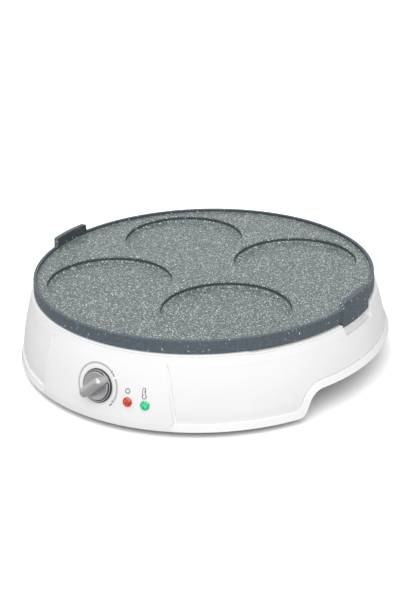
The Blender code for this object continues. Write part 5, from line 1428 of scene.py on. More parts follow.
def lug(p, outer, inner, low):
    """Lifting lug on +X: a curved tab with rounded corners, from its foot to its top edge."""
    high, corner = p.lug_high, p.lug_corner
    rows = []
    for a in quarter(LUG_CORNER_STEPS):
        rows.append((low + corner * (1 - math.cos(a)), corner * (1 - math.sin(a))))
    rows += [(low + (high - low) * share, 0.0) for share in LUG_MIDDLE_ROWS]
    for a in quarter(LUG_CORNER_STEPS):
        rows.append((high - corner * (1 - math.sin(a)), corner * (1 - math.cos(a))))
    sheets = []
    for radius in (outer, inner):
        sheet = []
        for z, inset in rows:
            share = (z - p.lug_low) / (high - p.lug_low)
            half = p.lug_low_half + (p.lug_top_half - p.lug_low_half) * share - inset
            line = []
            for i in range(LUG_STEPS + 1):
                y = half * (2 * i / LUG_STEPS - 1)
                line.append(Vector((math.sqrt(radius * radius - y * y), y, z)))
            sheet.append(line)
        sheets.append(sheet)
    points = [q for sheet in sheets for line in sheet for q in line]
    wide, tall = LUG_STEPS + 1, len(rows)
    back = wide * tall
    faces = []
    for r in range(tall - 1):
        for k in range(LUG_STEPS):
            a = r * wide + k
            faces.append((a, a + 1, a + wide + 1, a + wide))
            faces.append((back + a, back + a + wide, back + a + wide + 1, back + a + 1))
    border = list(range(wide))
    border += [r * wide + LUG_STEPS for r in range(1, tall)]
    border += [(tall - 1) * wide + k for k in reversed(range(LUG_STEPS))]
    border += [r * wide for r in reversed(range(1, tall - 1))]
    for a, b in zip(border, border[1:] + border[:1]):
        faces.append((a, back + a, back + b, b))
    return bevelled(cleaned(mesh_of("lug", points, faces)), LUG_EDGE, segments=3, angle=50)


def paint_plate(mesh, p):
    """Stone coating inside the rim, slate on the rim and steep sides, painted shade on the inner
    steep sides, bare casting below.
    """
    web_z = p.cook_z - p.web
    inner = p.radius - p.band
    stations = [
        polar(p.recess_pitch, p.recess_first_deg + 360 / p.recess_count * i, 0).xy
        for i in range(p.recess_count)
    ]
    for face in mesh.polygons:
        middle = face.center
        radius = middle.xy.length
        nearest = min((middle.xy - station).length for station in stations)
        deep = middle.z > p.cook_z - p.recess_depth - FLOOR_MARGIN
        in_recess = nearest < p.recess_radius + RECESS_MARGIN and deep
        under_web = middle.z < web_z + WEB_MARGIN and face.normal.z < -ASIDE
        in_recess = in_recess and not under_web
        above = middle.z > p.cook_z - TOP_MARGIN
        on_rim = middle.z > p.rim_z - RIM_MARGIN
        inward = face.normal.x * middle.x + face.normal.y * middle.y < 0
        # Inner steep sides of the recesses, rim and lugs get the darker coating as painted shade
        if face.normal.z < STEEP and (in_recess or (inward and above)):
            face.material_index = PAINTED_SHADE_SLATE
            continue
        below = middle.z < web_z + CAST_MARGIN and radius < inner + TOP_MARGIN
        along = abs(face.normal.x * middle.y - face.normal.y * middle.x) / max(radius, NEAR_AXIS)
        lug_side = middle.z > p.rim_z - LUG_MARGIN and along > ASIDE
        if in_recess or (above and not on_rim and face.normal.z > FLAT) or lug_side:
            face.material_index = STONE
        elif below:
            face.material_index = CAST
        else:
            face.material_index = SLATE


class CREPE_OT_plate(bpy.types.Operator):
    """Builds the cast plate with its recesses, band, lugs and feet"""

    bl_idname = "crepe.plate"
    bl_label = "Build Cooking Plate"

    def execute(self, context):
        p = context.scene.crepe_plate
        top = p.radius - p.taper
        web_z = p.cook_z - p.web
        band_z = p.rim_z - p.band_height
        corners = [
            (0, p.cook_z, 0),
            (top - p.band, p.cook_z, RIM_INNER_ROUND),
            (top - p.band + RIM_DRAFT, p.rim_z, RIM_INNER_ROUND),
            (top, p.rim_z, RIM_OUTER_ROUND),
            (p.radius, band_z, BAND_ROUND),
            (p.radius - p.band, band_z, BAND_ROUND),
            (p.radius - p.band, web_z, RIM_OUTER_ROUND),
            (0, web_z, 0),
        ]
        rail = p.radius / 2
        profile = [(r - rail, -z, 0) for r, z in softened(corners, 5)]
        edges = [(i, i + 1) for i in range(len(profile) - 1)]
        cup_low = p.cook_z - p.recess_depth - p.cup_wall
        cup_radius = p.recess_radius + p.cup_wall
        sunk_z = web_z + FITTING_OVERLAP
        cup_profile = [
            (0, sunk_z, 0),
            (cup_radius, sunk_z, 0),
            (cup_radius, cup_low, CUP_ROUND),
            (0, cup_low, 0),
        ]
        cup = turned("cup", softened(cup_profile, 5), DISC_STEPS)
        floor_z = p.cook_z - p.recess_depth
        over_z = p.cook_z + RECESS_OVERRUN
        wall_profile = [
            (0, over_z, 0),
            (p.recess_radius + RECESS_MOUTH, over_z, 0),
            (p.recess_radius + RECESS_MOUTH, p.cook_z, 0),
            (p.recess_radius - RECESS_MOUTH, p.cook_z - RECESS_BREAK, RECESS_BREAK),
            (p.recess_radius - RECESS_DRAFT, floor_z, p.recess_fillet),
            (0, floor_z, 0),
        ]
        recess = turned("recess", softened(wall_profile, 6), RECESS_STEPS)
        radii = (p.foot_inner, p.foot_outer)
        feet = []
        for deg in (-p.foot_deg, p.foot_deg, 180 - p.foot_deg, p.foot_deg - 180):
            feet.append(arc_block("foot", *radii, p.foot_low, sunk_z, p.foot_half_deg, 6, deg))
        back_radius = top - p.band + LUG_BITE
        lug_back = lug(p, p.lug_outer - p.lug_wall / 2, back_radius, p.cook_z - LUG_SUNK)
        outer_lug = lug(p, p.lug_outer, p.lug_outer - p.lug_wall, p.lug_low)
        lugs = cut(outer_lug, [lug_back], "UNION")
        lugs = merged([lugs], (Matrix(), turn(180)))
        helpers = [
            helper_object("cup", cup),
            helper_object("recess", recess),
            helper_object("fittings", merged(feet + [lugs])),
        ]
        values = {
            "Turning Radius": rail,
            "Facets": PLATE_FACETS,
            "Recess Count": p.recess_count,
            "Pitch Radius": p.recess_pitch,
            "First Angle": math.radians(p.recess_first_deg),
            "Cup": helpers[0],
            "Recess": helpers[1],
            "Fittings": helpers[2],
            "Material": FINISH["slate"],
        }
        plate = grown(mesh_of("plate", profile, [], edges), plate_tree(), values)
        for obj in helpers:
            bpy.data.objects.remove(obj, do_unlink=True)
        cleaned(plate, WELD)
        plate.materials.clear()
        for key in COATINGS:
            plate.materials.append(FINISH[key])
        paint_plate(plate, p)
        piece("cooking_plate", plate, [], "plate", ["griddle_plate"])
        return {"FINISHED"}


# Controls on the panel

GRIP_SUNK = 0.0004
# Share of the grip's height and how far its flank has drawn in there
GRIP_FLANK = ((0.0, 0.0), (0.25, 0.0001), (0.5, 0.0002))
GRIP_CROWN = 0.0038
GRIP_CROWN_STEPS = 11
GRIP_SHOULDER = 0.0003
GRIP_RIDGE = 0.0005
GRIP_END_STEPS = 23
GRIP_TAPER = 0.14
KNOB_EDGE_WIDTH = 0.0009
KNOB_EDGE_DROP = 0.0002
KNOB_FACE_ROUND = 0.0004
KNOB_BACK_ROUND = 0.0002
KNOB_HOLLOW_OUTER = 0.0106
KNOB_HOLLOW_INNER = 0.0050
KNOB_HOLLOW_DEPTH = 0.0007
RING_ROUND = 0.0003
SKIRT_DROP = 0.0004
SKIRT_FALL = 0.0007
SKIRT_LEAN = 0.0002
SKIRT_FLOOR = 0.0006
SKIRT_BREAK = 0.0001
LENS_SEAT = 0.0003
LENS_EDGE = 0.0006
LENS_WALL = 0.0008
LENS_STEPS = 8
INK_WELD = 0.0000001
FINE_LINE = 0.51
# Clock angles of the printed ring's two arcs
DIAL_ARCS = ((232, 402), (421, 482))
# Reach inside and outside the ring, and clock angle
DIAL_TICKS = ((0.0010, 0.0012, 402), (0.0014, 0.0008, 483))
# Offset from the ring, clock angles of both ends, and weight of the line
DIAL_DASHES = ((0.0, 405, 415, 1.3), (0.0002, 487, 497, 1.4))
# Places along the panel and up it from the knob's middle
RING_ICON_AT = (0.0277, 0.0008)
RING_ICON_RADIUS = 0.0019
RING_ICON_ARC = (0, 345)
BULB_ICON_AT = (0.0422, -0.0020)
BULB_ICON_RADIUS = 0.0017
BULB_ICON_ARC = (20, 340)
TUBE_ICON_SHIFT = 0.0005
TUBE_ICON_HALF = 0.0012
TUBE_ICON_TOP = 0.0040
TUBE_ICON_WEIGHT = 0.8
SCALE_WEIGHT = 0.7
SCALE_LINE = ((0.0424, 0.0012), (0.0424, 0.0026), (0.0424, 0.0040))


def grip(c):
    """Bar grip with drawn-in sides and a rounded back, across the knob's axis."""
    half_width = c.grip_width / 2
    straight = c.grip_length / 2 - half_width
    foot, top = c.knob_face - c.knob_dish - GRIP_SUNK, c.grip_top
    rows = [(foot + share * (top - foot), inset) for share, inset in GRIP_FLANK]
    for a in quarter(GRIP_CROWN_STEPS):
        inset = GRIP_SHOULDER + (half_width - GRIP_RIDGE) * (1 - math.cos(a))
        rows.append((top - GRIP_CROWN + GRIP_CROWN * math.sin(a), inset))
    ends = []
    for x, start_deg in ((straight, -90), (-straight, 90)):
        for i in range(GRIP_END_STEPS + 1):
            ends.append((x, math.radians(start_deg + 180 * i / GRIP_END_STEPS)))
    loops = []
    for w, inset in rows:
        radius = half_width - inset
        drawn = 1 - GRIP_TAPER * (w - foot) / (top - foot)
        loops.append(
            [Vector((x * drawn + radius * math.cos(a), radius * math.sin(a), w)) for x, a in ends]
        )
    mesh = capped("grip", loops)
    mesh.transform(turn(c.grip_deg))
    return mesh


def panel_point(h, c, u, v, lift):
    """Point on the panel's face, u along it and v up it from the knob's middle."""
    slope = wall_frame(h, FRONT, c.knob_z, True).col[1]
    z = c.knob_z + v * slope.z
    radius = wall_radius(h, z) + panel_proud(h, z)
    return polar(radius + lift, FRONT + math.degrees(u / radius), z)


def printed(name, h, c, line, width, closed=False):
    """Printed line on the panel through points (u, v)."""
    points = []
    count = len(line)
    for i, (u, v) in enumerate(line):
        before = Vector(line[i - 1] if i or closed else line[0])
        after = Vector(line[(i + 1) % count] if i < count - 1 or closed else line[-1])
        way = (after - before).normalized()
        side = Vector((-way.y, way.x)) * width / 2
        for k in (-1, 1):
            points.append(panel_point(h, c, u + k * side.x, v + k * side.y, c.ink_height))
            points.append(panel_point(h, c, u + k * side.x, v + k * side.y, -c.ink_height))
    faces = []
    spans = count if closed else count - 1
    for i in range(spans):
        a, b = 4 * i, 4 * ((i + 1) % count)
        for k, m in ((0, 2), (2, 3), (3, 1), (1, 0)):
            faces.append((a + k, a + m, b + m, b + k))
    if not closed:
        last = 4 * (count - 1)
        faces += [(0, 1, 3, 2), (last, last + 2, last + 3, last + 1)]
    return cleaned(mesh_of(name, points, faces), INK_WELD)


def round_line(radius, start_deg, end_deg, centre=(0.0, 0.0), step=4):
    """Points on an arc, angles counted clockwise from the top as on a clock face."""
    count = max(2, math.ceil(abs(end_deg - start_deg) / step))
    angles = [math.radians(start_deg + (end_deg - start_deg) * i / count) for i in range(count + 1)]
    return [(centre[0] + radius * math.sin(a), centre[1] + radius * math.cos(a)) for a in angles]


def clock_tick(inner, outer, deg, centre):
    """Short radial line at a clock angle."""
    a = math.radians(deg)
    steps = [inner, (inner + outer) / 2, outer]
    return [(centre[0] + r * math.sin(a), centre[1] + r * math.cos(a)) for r in steps]


class CREPE_OT_controls(bpy.types.Operator):
    """Builds the knob, its trim ring, the two lenses and the printed marks"""

    bl_idname = "crepe.controls"
    bl_label = "Build Controls"

    def execute(self, context):
        h = context.scene.crepe_housing
        c = context.scene.crepe_controls
        seat = AT_AXIS @ wall_frame(h, FRONT, c.knob_z, True)
        corners = [
            (0, c.knob_face - c.knob_dish, 0),
            (c.knob_radius - KNOB_EDGE_WIDTH, c.knob_face, KNOB_FACE_ROUND),
            (c.knob_radius, c.knob_face - KNOB_EDGE_DROP, KNOB_FACE_ROUND),
            (c.knob_radius, c.knob_back, KNOB_BACK_ROUND),
            (KNOB_HOLLOW_OUTER, c.knob_back, 0),
            (KNOB_HOLLOW_OUTER, c.knob_back + KNOB_HOLLOW_DEPTH, 0),
            (KNOB_HOLLOW_INNER, c.knob_back + KNOB_HOLLOW_DEPTH, 0),
            (KNOB_HOLLOW_INNER, c.knob_back, 0),
            (0, c.knob_back, 0),
        ]
        disc = turned("disc", softened(corners, 4), DISC_STEPS)
        knob = merged([disc, grip(c)])
        piece("knob", knob, [FINISH["silver"]], "knob", ["control_knob"], place=seat)

        inner = c.knob_radius + SLIP
        outer = inner + c.ring_width
        top = c.knob_back + c.ring_depth
        bright = inner + RING_ROUND
        middle = bright + c.ring_bright
        corners = [
            (bright, top, RING_ROUND),
            (middle, top, RING_ROUND),
            (middle, c.knob_back, 0),
            (bright, c.knob_back, 0),
        ]
        outline = softened(corners, 4, closed=True)
        ring = turned("ring", outline, DISC_STEPS, closed=True)
        chrome = [FINISH["chrome"]]
        piece("knob_ring", ring, chrome, "knob", ["knob_trim_ring"], place=seat)
        corners = [
            (middle, top - SKIRT_DROP, 0),
            (outer - SKIRT_LEAN, top - SKIRT_FALL, RING_ROUND),
            (outer, c.knob_back, 0),
            (inner, c.knob_back, 0),
            (inner, c.knob_back + SKIRT_FLOOR, SKIRT_BREAK),
            (middle, c.knob_back + SKIRT_FLOOR, 0),
        ]
        outline = softened(corners, 4, closed=True)
        skirt = turned("skirt", outline, DISC_STEPS, closed=True)
        piece("knob_skirt", skirt, [FINISH["nylon"]], "knob", place=seat)

        for name, node, deg, z, key, slot in (
            ("power_lens", "power_lamp_lens", c.red_deg, c.red_z, "red", "lens_red"),
            ("ready_lens", "ready_lamp_lens", c.green_deg, c.green_z, "green", "lens_green"),
        ):
            hollow = c.stem_radius - LENS_WALL
            profile = [(0, LENS_EDGE + c.lens_height)]
            for a in reversed(quarter(LENS_STEPS)[:-1]):
                height = LENS_EDGE + c.lens_height * math.sin(a)
                profile.append((c.lens_radius * math.cos(a), height))
            profile += [
                (c.lens_radius, LENS_SEAT),
                (c.stem_radius, LENS_SEAT),
                (c.stem_radius, -c.stem_depth),
                (hollow, -c.stem_depth),
                (hollow, 0),
                (0, 0),
            ]
            place = AT_AXIS @ wall_frame(h, deg, z, True)
            lens = turned(name, profile, BUTTON_STEPS)
            piece(name, lens, [FINISH[key]], "base", [node], place=place)

        middle = (c.dial_right, c.dial_up)
        marks = []
        for start_deg, end_deg in DIAL_ARCS:
            arc = round_line(c.dial_radius, start_deg, end_deg, middle)
            marks.append(printed("dial", h, c, arc, c.line_width))
        piece("printed_marks", merged(marks), [FINISH["ink"]], "base", sharp_deg=60)

        fine = c.line_width * FINE_LINE
        heavy = []
        for inward, outward, deg in DIAL_TICKS:
            tick = clock_tick(c.dial_radius - inward, c.dial_radius + outward, deg, middle)
            heavy.append(printed("heavy", h, c, tick, fine))
        for offset, start_deg, end_deg, weight in DIAL_DASHES:
            dash = round_line(c.dial_radius + offset, start_deg, end_deg, middle)
            heavy.append(printed("heavy", h, c, dash, fine * weight))
        ring_icon = round_line(RING_ICON_RADIUS, *RING_ICON_ARC, RING_ICON_AT, step=15)
        bulb = round_line(BULB_ICON_RADIUS, *BULB_ICON_ARC, BULB_ICON_AT, step=20)
        tube_x = BULB_ICON_AT[0] - TUBE_ICON_SHIFT
        bulb_z = BULB_ICON_AT[1] + BULB_ICON_RADIUS
        tube = [(tube_x - TUBE_ICON_HALF, bulb_z), (tube_x - TUBE_ICON_HALF, TUBE_ICON_TOP)]
        tube += round_line(TUBE_ICON_HALF, -90, 90, (tube_x, TUBE_ICON_TOP), step=18)
        tube += [(tube_x + TUBE_ICON_HALF, bulb_z)]
        heavy += [
            printed("ring_icon", h, c, ring_icon, fine, True),
            printed("bulb_icon", h, c, bulb, fine),
            printed("tube_icon", h, c, tube, fine * TUBE_ICON_WEIGHT),
            printed("scale", h, c, SCALE_LINE, fine * SCALE_WEIGHT),
        ]
        dark = [FINISH["dark_ink"]]
        piece("printed_heavy_marks", merged(heavy), dark, "base", sharp_deg=60)
        return {"FINISHED"}


# Heating parts

ELEMENT_BEND_STEPS = 8
ELEMENT_RING_STEPS = 140
FLAT_JOIN_DEG = 0.5
HEAD_CROWN = 0.0010
HEAD_BREAK = 0.0002
SCREW_TIP = 0.0006
CROSS_HALF = 0.00035
CROSS_REACH = 0.0017
CROSS_DEPTH = 0.0009
CROSS_OVERRUN = 0.0010
BEAD_INNER = (0.0300, 0.0325)
BEAD_OUTER = (0.0565, 0.0590)
BEAD_HEIGHT = 0.0008
BEAD_ROUND = 0.0010
SHIELD_FLOOR_ROUND = 0.0040
SHIELD_LIP_ROUND = 0.0018
LEG_SLIP = 0.0005
# Places and radii of the capillary's and the earth screw's holes
SHIELD_HOLES = ((0.0290, 0.0, 0.0028), (0.0450, 0.0300, 0.0018))
SHIELD_HOLE_REACH = 0.0040
SHEET_EDGE = 0.00015


def element_path(g):
    """Centre line of the heating tube: up one leg, round the ring and down the other."""
    reach = g.element_gap_half + g.element_bend
    ring_y = math.sqrt(g.element_circle**2 - reach**2)
    leg_x = reach - g.element_bend * ring_y / g.element_circle
    leg_y = ring_y + g.element_bend * reach / g.element_circle
    gap = math.degrees(math.asin(reach / g.element_circle))
    half = [Vector((leg_x, leg_y, g.element_low))]
    start = polar(g.element_circle, REAR - gap, g.element_z)
    leg = Vector((leg_x, leg_y, 0))
    for a in quarter(ELEMENT_BEND_STEPS)[:-1]:
        flat = leg.lerp(start, 1 - math.cos(a))
        half.append(Vector((flat.x, flat.y, g.element_z - g.element_bend * (1 - math.sin(a)))))
    sweep = 360 - 2 * gap
    ring = []
    for i in range(ELEMENT_RING_STEPS + 1):
        deg = REAR - gap - sweep * i / ELEMENT_RING_STEPS
        ring.append(polar(g.element_circle, deg, g.element_z))
    return half + ring + [Vector((-q.x, q.y, q.z)) for q in reversed(half)]


def copied(node):
    """Merged copy of a CAD node's mesh, with its flat faces joined up."""
    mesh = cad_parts[node].data.copy()
    mesh.materials.clear()
    work = bmesh.new()
    work.from_mesh(mesh)
    bmesh.ops.remove_doubles(work, verts=work.verts, dist=WELD)
    bmesh.ops.dissolve_limit(
        work,
        angle_limit=math.radians(FLAT_JOIN_DEG),
        verts=work.verts,
        edges=work.edges,
        delimit={"NORMAL"},
    )
    work.to_mesh(mesh)
    work.free()
    return mesh


def cross_screw(u, length):
    """Pan-head screw with a cross recess, its head above z = 0."""
    corners = [
        (0, u.screw_head, 0),
        (u.screw_head_radius, u.screw_head, HEAD_CROWN),
        (u.screw_head_radius, 0, HEAD_BREAK),
        (u.screw_radius, 0, 0),
        (u.screw_radius, -length, SCREW_TIP),
        (0, -length, 0),
    ]
    body = turned("screw", softened(corners, 4), SCREW_STEPS)
    slots = []
    half, reach = CROSS_HALF, CROSS_REACH
    outline = [(-reach, -half), (reach, -half), (reach, half), (-reach, half)]
    low, high = u.screw_head - CROSS_DEPTH, u.screw_head + CROSS_OVERRUN
    for deg in (0, 90):
        slots.append(slab("slot", outline, low, high, turn(deg)))
    return cut(body, slots)


def at_places(places, model, material):
    """Copies of a model at every place, made by Geometry Nodes."""
    holder = helper_object("model", model)
    points = mesh_of("places", places, [])
    mesh = grown(points, copies_tree(), {"Piece": holder, "Material": material})
    bpy.data.objects.remove(holder, do_unlink=True)
    return mesh


def four_corners(circle, front_deg, rear_deg, z):
    """Four places, mirrored across the middle."""
    angles = (front_deg, -180 - front_deg, rear_deg, 180 - rear_deg)
    return [polar(circle, deg, z) for deg in angles]


class CREPE_OT_heating(bpy.types.Operator):
    """Builds the heat shield, the heating tube and what stands on the shield"""

    bl_idname = "crepe.heating"
    bl_label = "Build Heating Parts"

    def execute(self, context):
        g = context.scene.crepe_heating
        u = context.scene.crepe_underside
        floor_z, flange_z, sheet = g.shield_floor_z, g.shield_flange_z, g.shield_sheet
        bead_z = floor_z + BEAD_HEIGHT
        face = [
            (0, floor_z, 0),
            (BEAD_INNER[0], floor_z, 0),
            (BEAD_INNER[1], bead_z, BEAD_ROUND),
            (BEAD_OUTER[0], bead_z, BEAD_ROUND),
            (BEAD_OUTER[1], floor_z, BEAD_ROUND),
            (g.shield_floor_radius, floor_z, SHIELD_FLOOR_ROUND),
            (g.shield_lip_radius, flange_z, SHIELD_LIP_ROUND),
            (g.shield_radius, flange_z, 0),
        ]
        outline = softened(face, 6)
        under = [(r, z - sheet) for r, z in reversed(outline)]
        shield = turned("shield", outline + under, WIDE_STEPS)
        path = element_path(g)
        leg_hole = g.element_radius + LEG_SLIP
        places = [(side * path[0].x, path[0].y, leg_hole) for side in reversed(SIDES)]
        holes = []
        for x, y, radius in (*places, *SHIELD_HOLES):
            ring = round_outline(radius, SCREW_STEPS, x, y)
            low, high = floor_z - SHIELD_HOLE_REACH, floor_z + SHIELD_HOLE_REACH
            holes.append(slab("hole", ring, low, high))
        shield = cut(shield, [merged(holes)])
        piece("heat_dish", shield, [FINISH["shield"]], "base", ["heat_shield"])

        edges = [(i, i + 1) for i in range(len(path) - 1)]
        sheath = FINISH["sheath"]
        values = {"Radius": g.element_radius, "Sides": TUBE_SIDES, "Material": sheath}
        tube = grown(mesh_of("element", path, [], edges), tube_tree(), values)
        piece("heating_tube", tube, [sheath], "base", ["heating_element"], sharp_deg=60)

        sides_deg = (-SHIELD_SCREW_DEG, SHIELD_SCREW_DEG)
        places = four_corners(g.screw_circle, *sides_deg, flange_z + SLIP)
        screws = at_places(places, cross_screw(u, u.shield_screw_length), FINISH["zinc"])
        names = ["shield_screw_" + corner for corner in CORNERS]
        piece("shield_screws", screws, [FINISH["zinc"]], "base", names)

        for node, key, slot in (
            ("element_clip_1", "zinc", "steel"),
            ("element_clip_2", "zinc", "steel"),
            ("element_clip_3", "zinc", "steel"),
            ("sensor_bracket", "zinc", "steel"),
            ("sensor_bulb", "copper", "copper"),
        ):
            mesh = bevelled(copied(node), SHEET_EDGE, angle=30)
            piece(node + "_detail", mesh, [FINISH[key]], "base", [node], place=Matrix())
        return {"FINISHED"}


# Underside

STEM_ROUND = 0.0006
FOOT_SHOULDER = 0.0005
FOOT_DRAFT = 0.0004
FOOT_TREAD_HEIGHT = 0.0012
FOOT_TREAD_INSET = 0.0014
FOOT_TREAD_ROUND = 0.0006
FOOT_EDGE = 0.0004
GLAND_GRIP = 0.0004
GLAND_FACE = 0.0016
GLAND_STEP = 0.0018
GLAND_MOUTH_ROUND = 0.0006
GLAND_FACE_ROUND = 0.0008
GLAND_BREAK = 0.0002
GLAND_REAR_ROUND = 0.0005
GLAND_BORE_ROUND = 0.0004


class CREPE_OT_underside(bpy.types.Operator):
    """Builds the feet, the cover, its screws and the cord gland"""

    bl_idname = "crepe.underside"
    bl_label = "Build Underside"

    def execute(self, context):
        h = context.scene.crepe_housing
        u = context.scene.crepe_underside
        corners = [
            (0, u.stem_top, 0),
            (u.stem_radius, u.stem_top, STEM_ROUND),
            (u.stem_radius, u.foot_top, 0),
            (u.foot_radius, u.foot_top, FOOT_SHOULDER),
            (u.foot_radius - FOOT_DRAFT, FOOT_TREAD_HEIGHT, FOOT_TREAD_ROUND),
            (u.foot_radius - FOOT_TREAD_INSET, 0.0, FOOT_EDGE),
            (0, 0.0, 0),
        ]
        foot = turned("foot", softened(corners, 4), BUTTON_STEPS)
        places = four_corners(u.foot_circle, u.foot_front_deg, u.foot_rear_deg, 0.0)
        feet = at_places(places, foot, FINISH["rubber"])
        names = ["foot_" + corner for corner in CORNERS]
        piece("rubber_feet", feet, [FINISH["rubber"]], "base", names)

        model = cross_screw(u, u.cover_screw_length)
        model.transform(turn(180, "X"))
        places = four_corners(u.post_circle, u.post_front_deg, u.post_rear_deg, u.foot_top)
        screws = at_places(places, model, FINISH["zinc"])
        names = ["cover_screw_" + corner for corner in CORNERS]
        piece("cover_screws", screws, [FINISH["zinc"]], "base", names)

        cover = copied("bottom_cover")
        plastic = [FINISH["cover"]]
        nodes = ["bottom_cover"]
        piece("cover_sheet", cover, plastic, "base", nodes, sharp_deg=30, place=Matrix())

        face = -h.wall - GLAND_GRIP
        corners = [
            (u.gland_bore, u.gland_proud, GLAND_MOUTH_ROUND),
            (u.gland_radius - GLAND_FACE, u.gland_proud, GLAND_FACE_ROUND),
            (u.gland_radius, GLAND_STEP, GLAND_MOUTH_ROUND),
            (u.gland_radius, SLIP, GLAND_BREAK),
            (u.gland_neck, SLIP, 0),
            (u.gland_neck, face, 0),
            (u.gland_radius, face - SLIP, GLAND_BREAK),
            (u.gland_radius, face - u.gland_rear, GLAND_REAR_ROUND),
            (u.gland_bore, face - u.gland_rear, GLAND_BORE_ROUND),
        ]
        gland = turned("gland", softened(corners, 4, closed=True), GLAND_STEPS, closed=True)
        place = AT_AXIS @ wall_frame(h, REAR, u.gland_z)
        nylon = [FINISH["nylon"]]
        piece("cord_grommet", gland, nylon, "base", ["cord_gland"], place=place)
        return {"FINISHED"}


class CREPE_OT_inner_parts(bpy.types.Operator):
    """Gives the CAD nodes that stay inside the base their own finishes"""

    bl_idname = "crepe.inner_parts"
    bl_label = "Finish Inner Parts"

    def execute(self, context):
        keys = {
            "capillary_tube": "copper",
            "clamp_screw": "brass",
            "block_screw": "zinc",
            "earth_screw": "brass",
            "earth_tag": "brass",
            "fuse_strap": "zinc",
            "lamp_lead": "grey",
            "lead_live": "brown",
            "lead_switched": "brown",
            "lead_element": "brown",
            "lead_neutral": "blue",
            "lead_earth": "earth",
            "power_neon": "glass",
            "ready_neon": "glass",
            "terminal_bead": "steatite",
            "terminal_block": "steatite",
            "terminal_pin": "zinc",
            "thermal_fuse": "steatite",
            "thermostat_body": "steatite",
            "thermostat_bridge": "zinc",
            "thermostat_screw": "zinc",
            "thermostat_shaft": "zinc",
        }
        for name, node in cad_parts.items():
            if node.hide_render:
                continue
            found = [key for prefix, key in keys.items() if name.startswith(prefix)]
            if not found:
                raise RuntimeError("no finish for " + name)
            for slot in node.material_slots:
                slot.material = FINISH[found[0]]
        return {"FINISHED"}


# Stage

CLIP_END = 60.0
FRONT_SPREAD_DEG = 60.0
SIDE_SPREAD_DEG = 32.0
FLOOR_REACH = 14.0
WHITE = (1.0, 1.0, 1.0, 1.0)


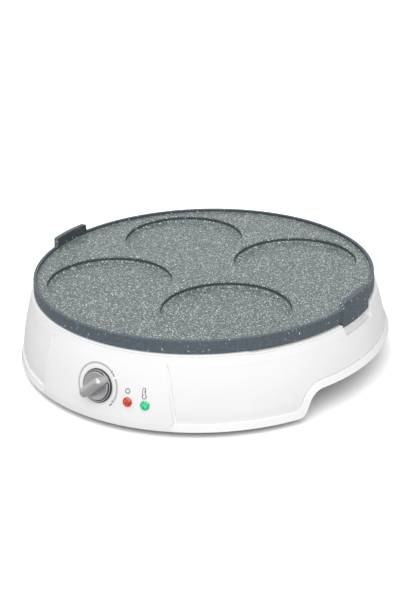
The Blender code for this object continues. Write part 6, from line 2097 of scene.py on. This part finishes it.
class CREPE_OT_stage(bpy.types.Operator):
    """Sets up the camera, the lamps, the sky and the floor"""

    bl_idname = "crepe.stage"
    bl_label = "Set The Stage"

    def execute(self, context):
        s = context.scene.crepe_stage
        scene = context.scene
        az, el, roll = (math.radians(v) for v in (s.azimuth, s.elevation, s.roll))
        back = Vector((math.sin(az) * math.cos(el), -math.cos(az) * math.cos(el), math.sin(el)))
        right = (-back).cross(Vector((0, 0, 1))).normalized()
        up = right.cross(-back)
        across = right * math.cos(roll) + up * math.sin(roll)
        upright = up * math.cos(roll) - right * math.sin(roll)
        eye = Vector(s.target) + Vector((0, AXIS_Y, 0)) + back * s.distance
        camera = bpy.data.objects.new("camera", bpy.data.cameras.new("camera"))
        scene.collection.objects.link(camera)
        camera.data.lens = s.lens
        camera.data.clip_end = CLIP_END
        rotation = Matrix((across, upright, back)).transposed().to_4x4()
        camera.matrix_world = Matrix.Translation(eye) @ rotation
        scene.camera = camera

        for name, deg, height, strength, spread in (
            ("front_light", s.front_deg, s.front_height, s.front, FRONT_SPREAD_DEG),
            ("side_light", s.side_deg, s.side_height, s.side, SIDE_SPREAD_DEG),
        ):
            way = polar(math.cos(math.radians(height)), deg, math.sin(math.radians(height)))
            lamp = bpy.data.lights.new(name, "SUN")
            lamp.energy = strength
            lamp.angle = math.radians(spread)
            obj = bpy.data.objects.new(name, lamp)
            scene.collection.objects.link(obj)
            obj.rotation_mode = "QUATERNION"
            obj.rotation_quaternion = way.to_track_quat("Z", "Y")

        world = bpy.data.worlds.new("studio")
        scene.world = world
        world.use_nodes = True
        tree = world.node_tree
        tree.nodes.clear()
        path = add(tree, "ShaderNodeLightPath").outputs
        seen = path["Is Camera Ray"]
        for kind in ("Is Glossy Ray", "Is Transmission Ray"):
            seen = worked_out(tree, "MAXIMUM", seen, path[kind])
        sky = add(tree, "ShaderNodeBackground", [("Strength", s.sky)])
        seen_white = add(tree, "ShaderNodeBackground", [("Strength", 1.0)])
        for node in (sky, seen_white):
            node.inputs["Color"].default_value = WHITE
        both = add(
            tree,
            "ShaderNodeMixShader",
            [(0, seen), (1, sky.outputs[0]), (2, seen_white.outputs[0])],
        )
        add(tree, "ShaderNodeOutputWorld", [("Surface", both.outputs[0])])

        # Matt white paper floor: even and bright to the eye, greyer in what it throws back
        material, tree = blank("matt_white_floor")[:2]
        path = add(tree, "ShaderNodeLightPath").outputs
        white = (s.floor_white, s.floor_white, s.floor_white, 1.0)
        mirrored = mix(tree, path["Is Glossy Ray"], "#A6A6A6", "#C2C2C2")
        pale = mix(tree, path["Is Camera Ray"], mirrored, white)
        paint = add(tree, "ShaderNodeBsdfDiffuse", [("Color", pale)])
        add(tree, "ShaderNodeOutputMaterial", [("Surface", paint.outputs[0])])
        reach = FLOOR_REACH
        corners = [(-reach, -reach, 0), (reach, -reach, 0), (reach, reach, 0), (-reach, reach, 0)]
        ground = mesh_of("floor", corners, [(0, 1, 2, 3)])
        ground.materials.append(material)
        helper_object("floor", ground)
        scene.view_settings.view_transform = "Standard"
        return {"FINISHED"}


class CREPE_PT_panel(bpy.types.Panel):
    """Lists the builders of the crepe maker's pieces"""

    bl_idname = "CREPE_PT_panel"
    bl_label = "Crepe Maker"
    bl_space_type = "VIEW_3D"
    bl_region_type = "UI"
    bl_category = "Crepe Maker"

    def draw(self, context):
        for operator in OPERATORS:
            self.layout.operator(operator.bl_idname)
        for group in SETTINGS:
            box = self.layout.box()
            box.label(text=group.__doc__)
            owner = getattr(context.scene, SETTINGS[group])
            for name in group.__annotations__:
                box.prop(owner, name)


OPERATORS = (
    CREPE_OT_housing,
    CREPE_OT_plate,
    CREPE_OT_controls,
    CREPE_OT_heating,
    CREPE_OT_underside,
    CREPE_OT_inner_parts,
    CREPE_OT_stage,
)
SETTINGS = {
    HousingSettings: "crepe_housing",
    PlateSettings: "crepe_plate",
    ControlSettings: "crepe_controls",
    HeatingSettings: "crepe_heating",
    UndersideSettings: "crepe_underside",
    FinishSettings: "crepe_finishes",
    StageSettings: "crepe_stage",
}


def register():
    for group, name in SETTINGS.items():
        bpy.utils.register_class(group)
        setattr(bpy.types.Scene, name, PointerProperty(type=group))
    for operator in OPERATORS:
        bpy.utils.register_class(operator)
    bpy.utils.register_class(CREPE_PT_panel)


def unregister():
    bpy.utils.unregister_class(CREPE_PT_panel)
    for operator in reversed(OPERATORS):
        bpy.utils.unregister_class(operator)
    for group, name in SETTINGS.items():
        delattr(bpy.types.Scene, name)
        bpy.utils.unregister_class(group)


def main():
    """Builds every piece."""
    register()
    FINISH.update(make_finishes(bpy.context.scene.crepe_finishes))
    bpy.ops.crepe.stage()
    bpy.ops.crepe.housing()
    bpy.ops.crepe.plate()
    bpy.ops.crepe.controls()
    bpy.ops.crepe.heating()
    bpy.ops.crepe.underside()
    bpy.ops.crepe.inner_parts()


if __name__ == "__main__":
    main()
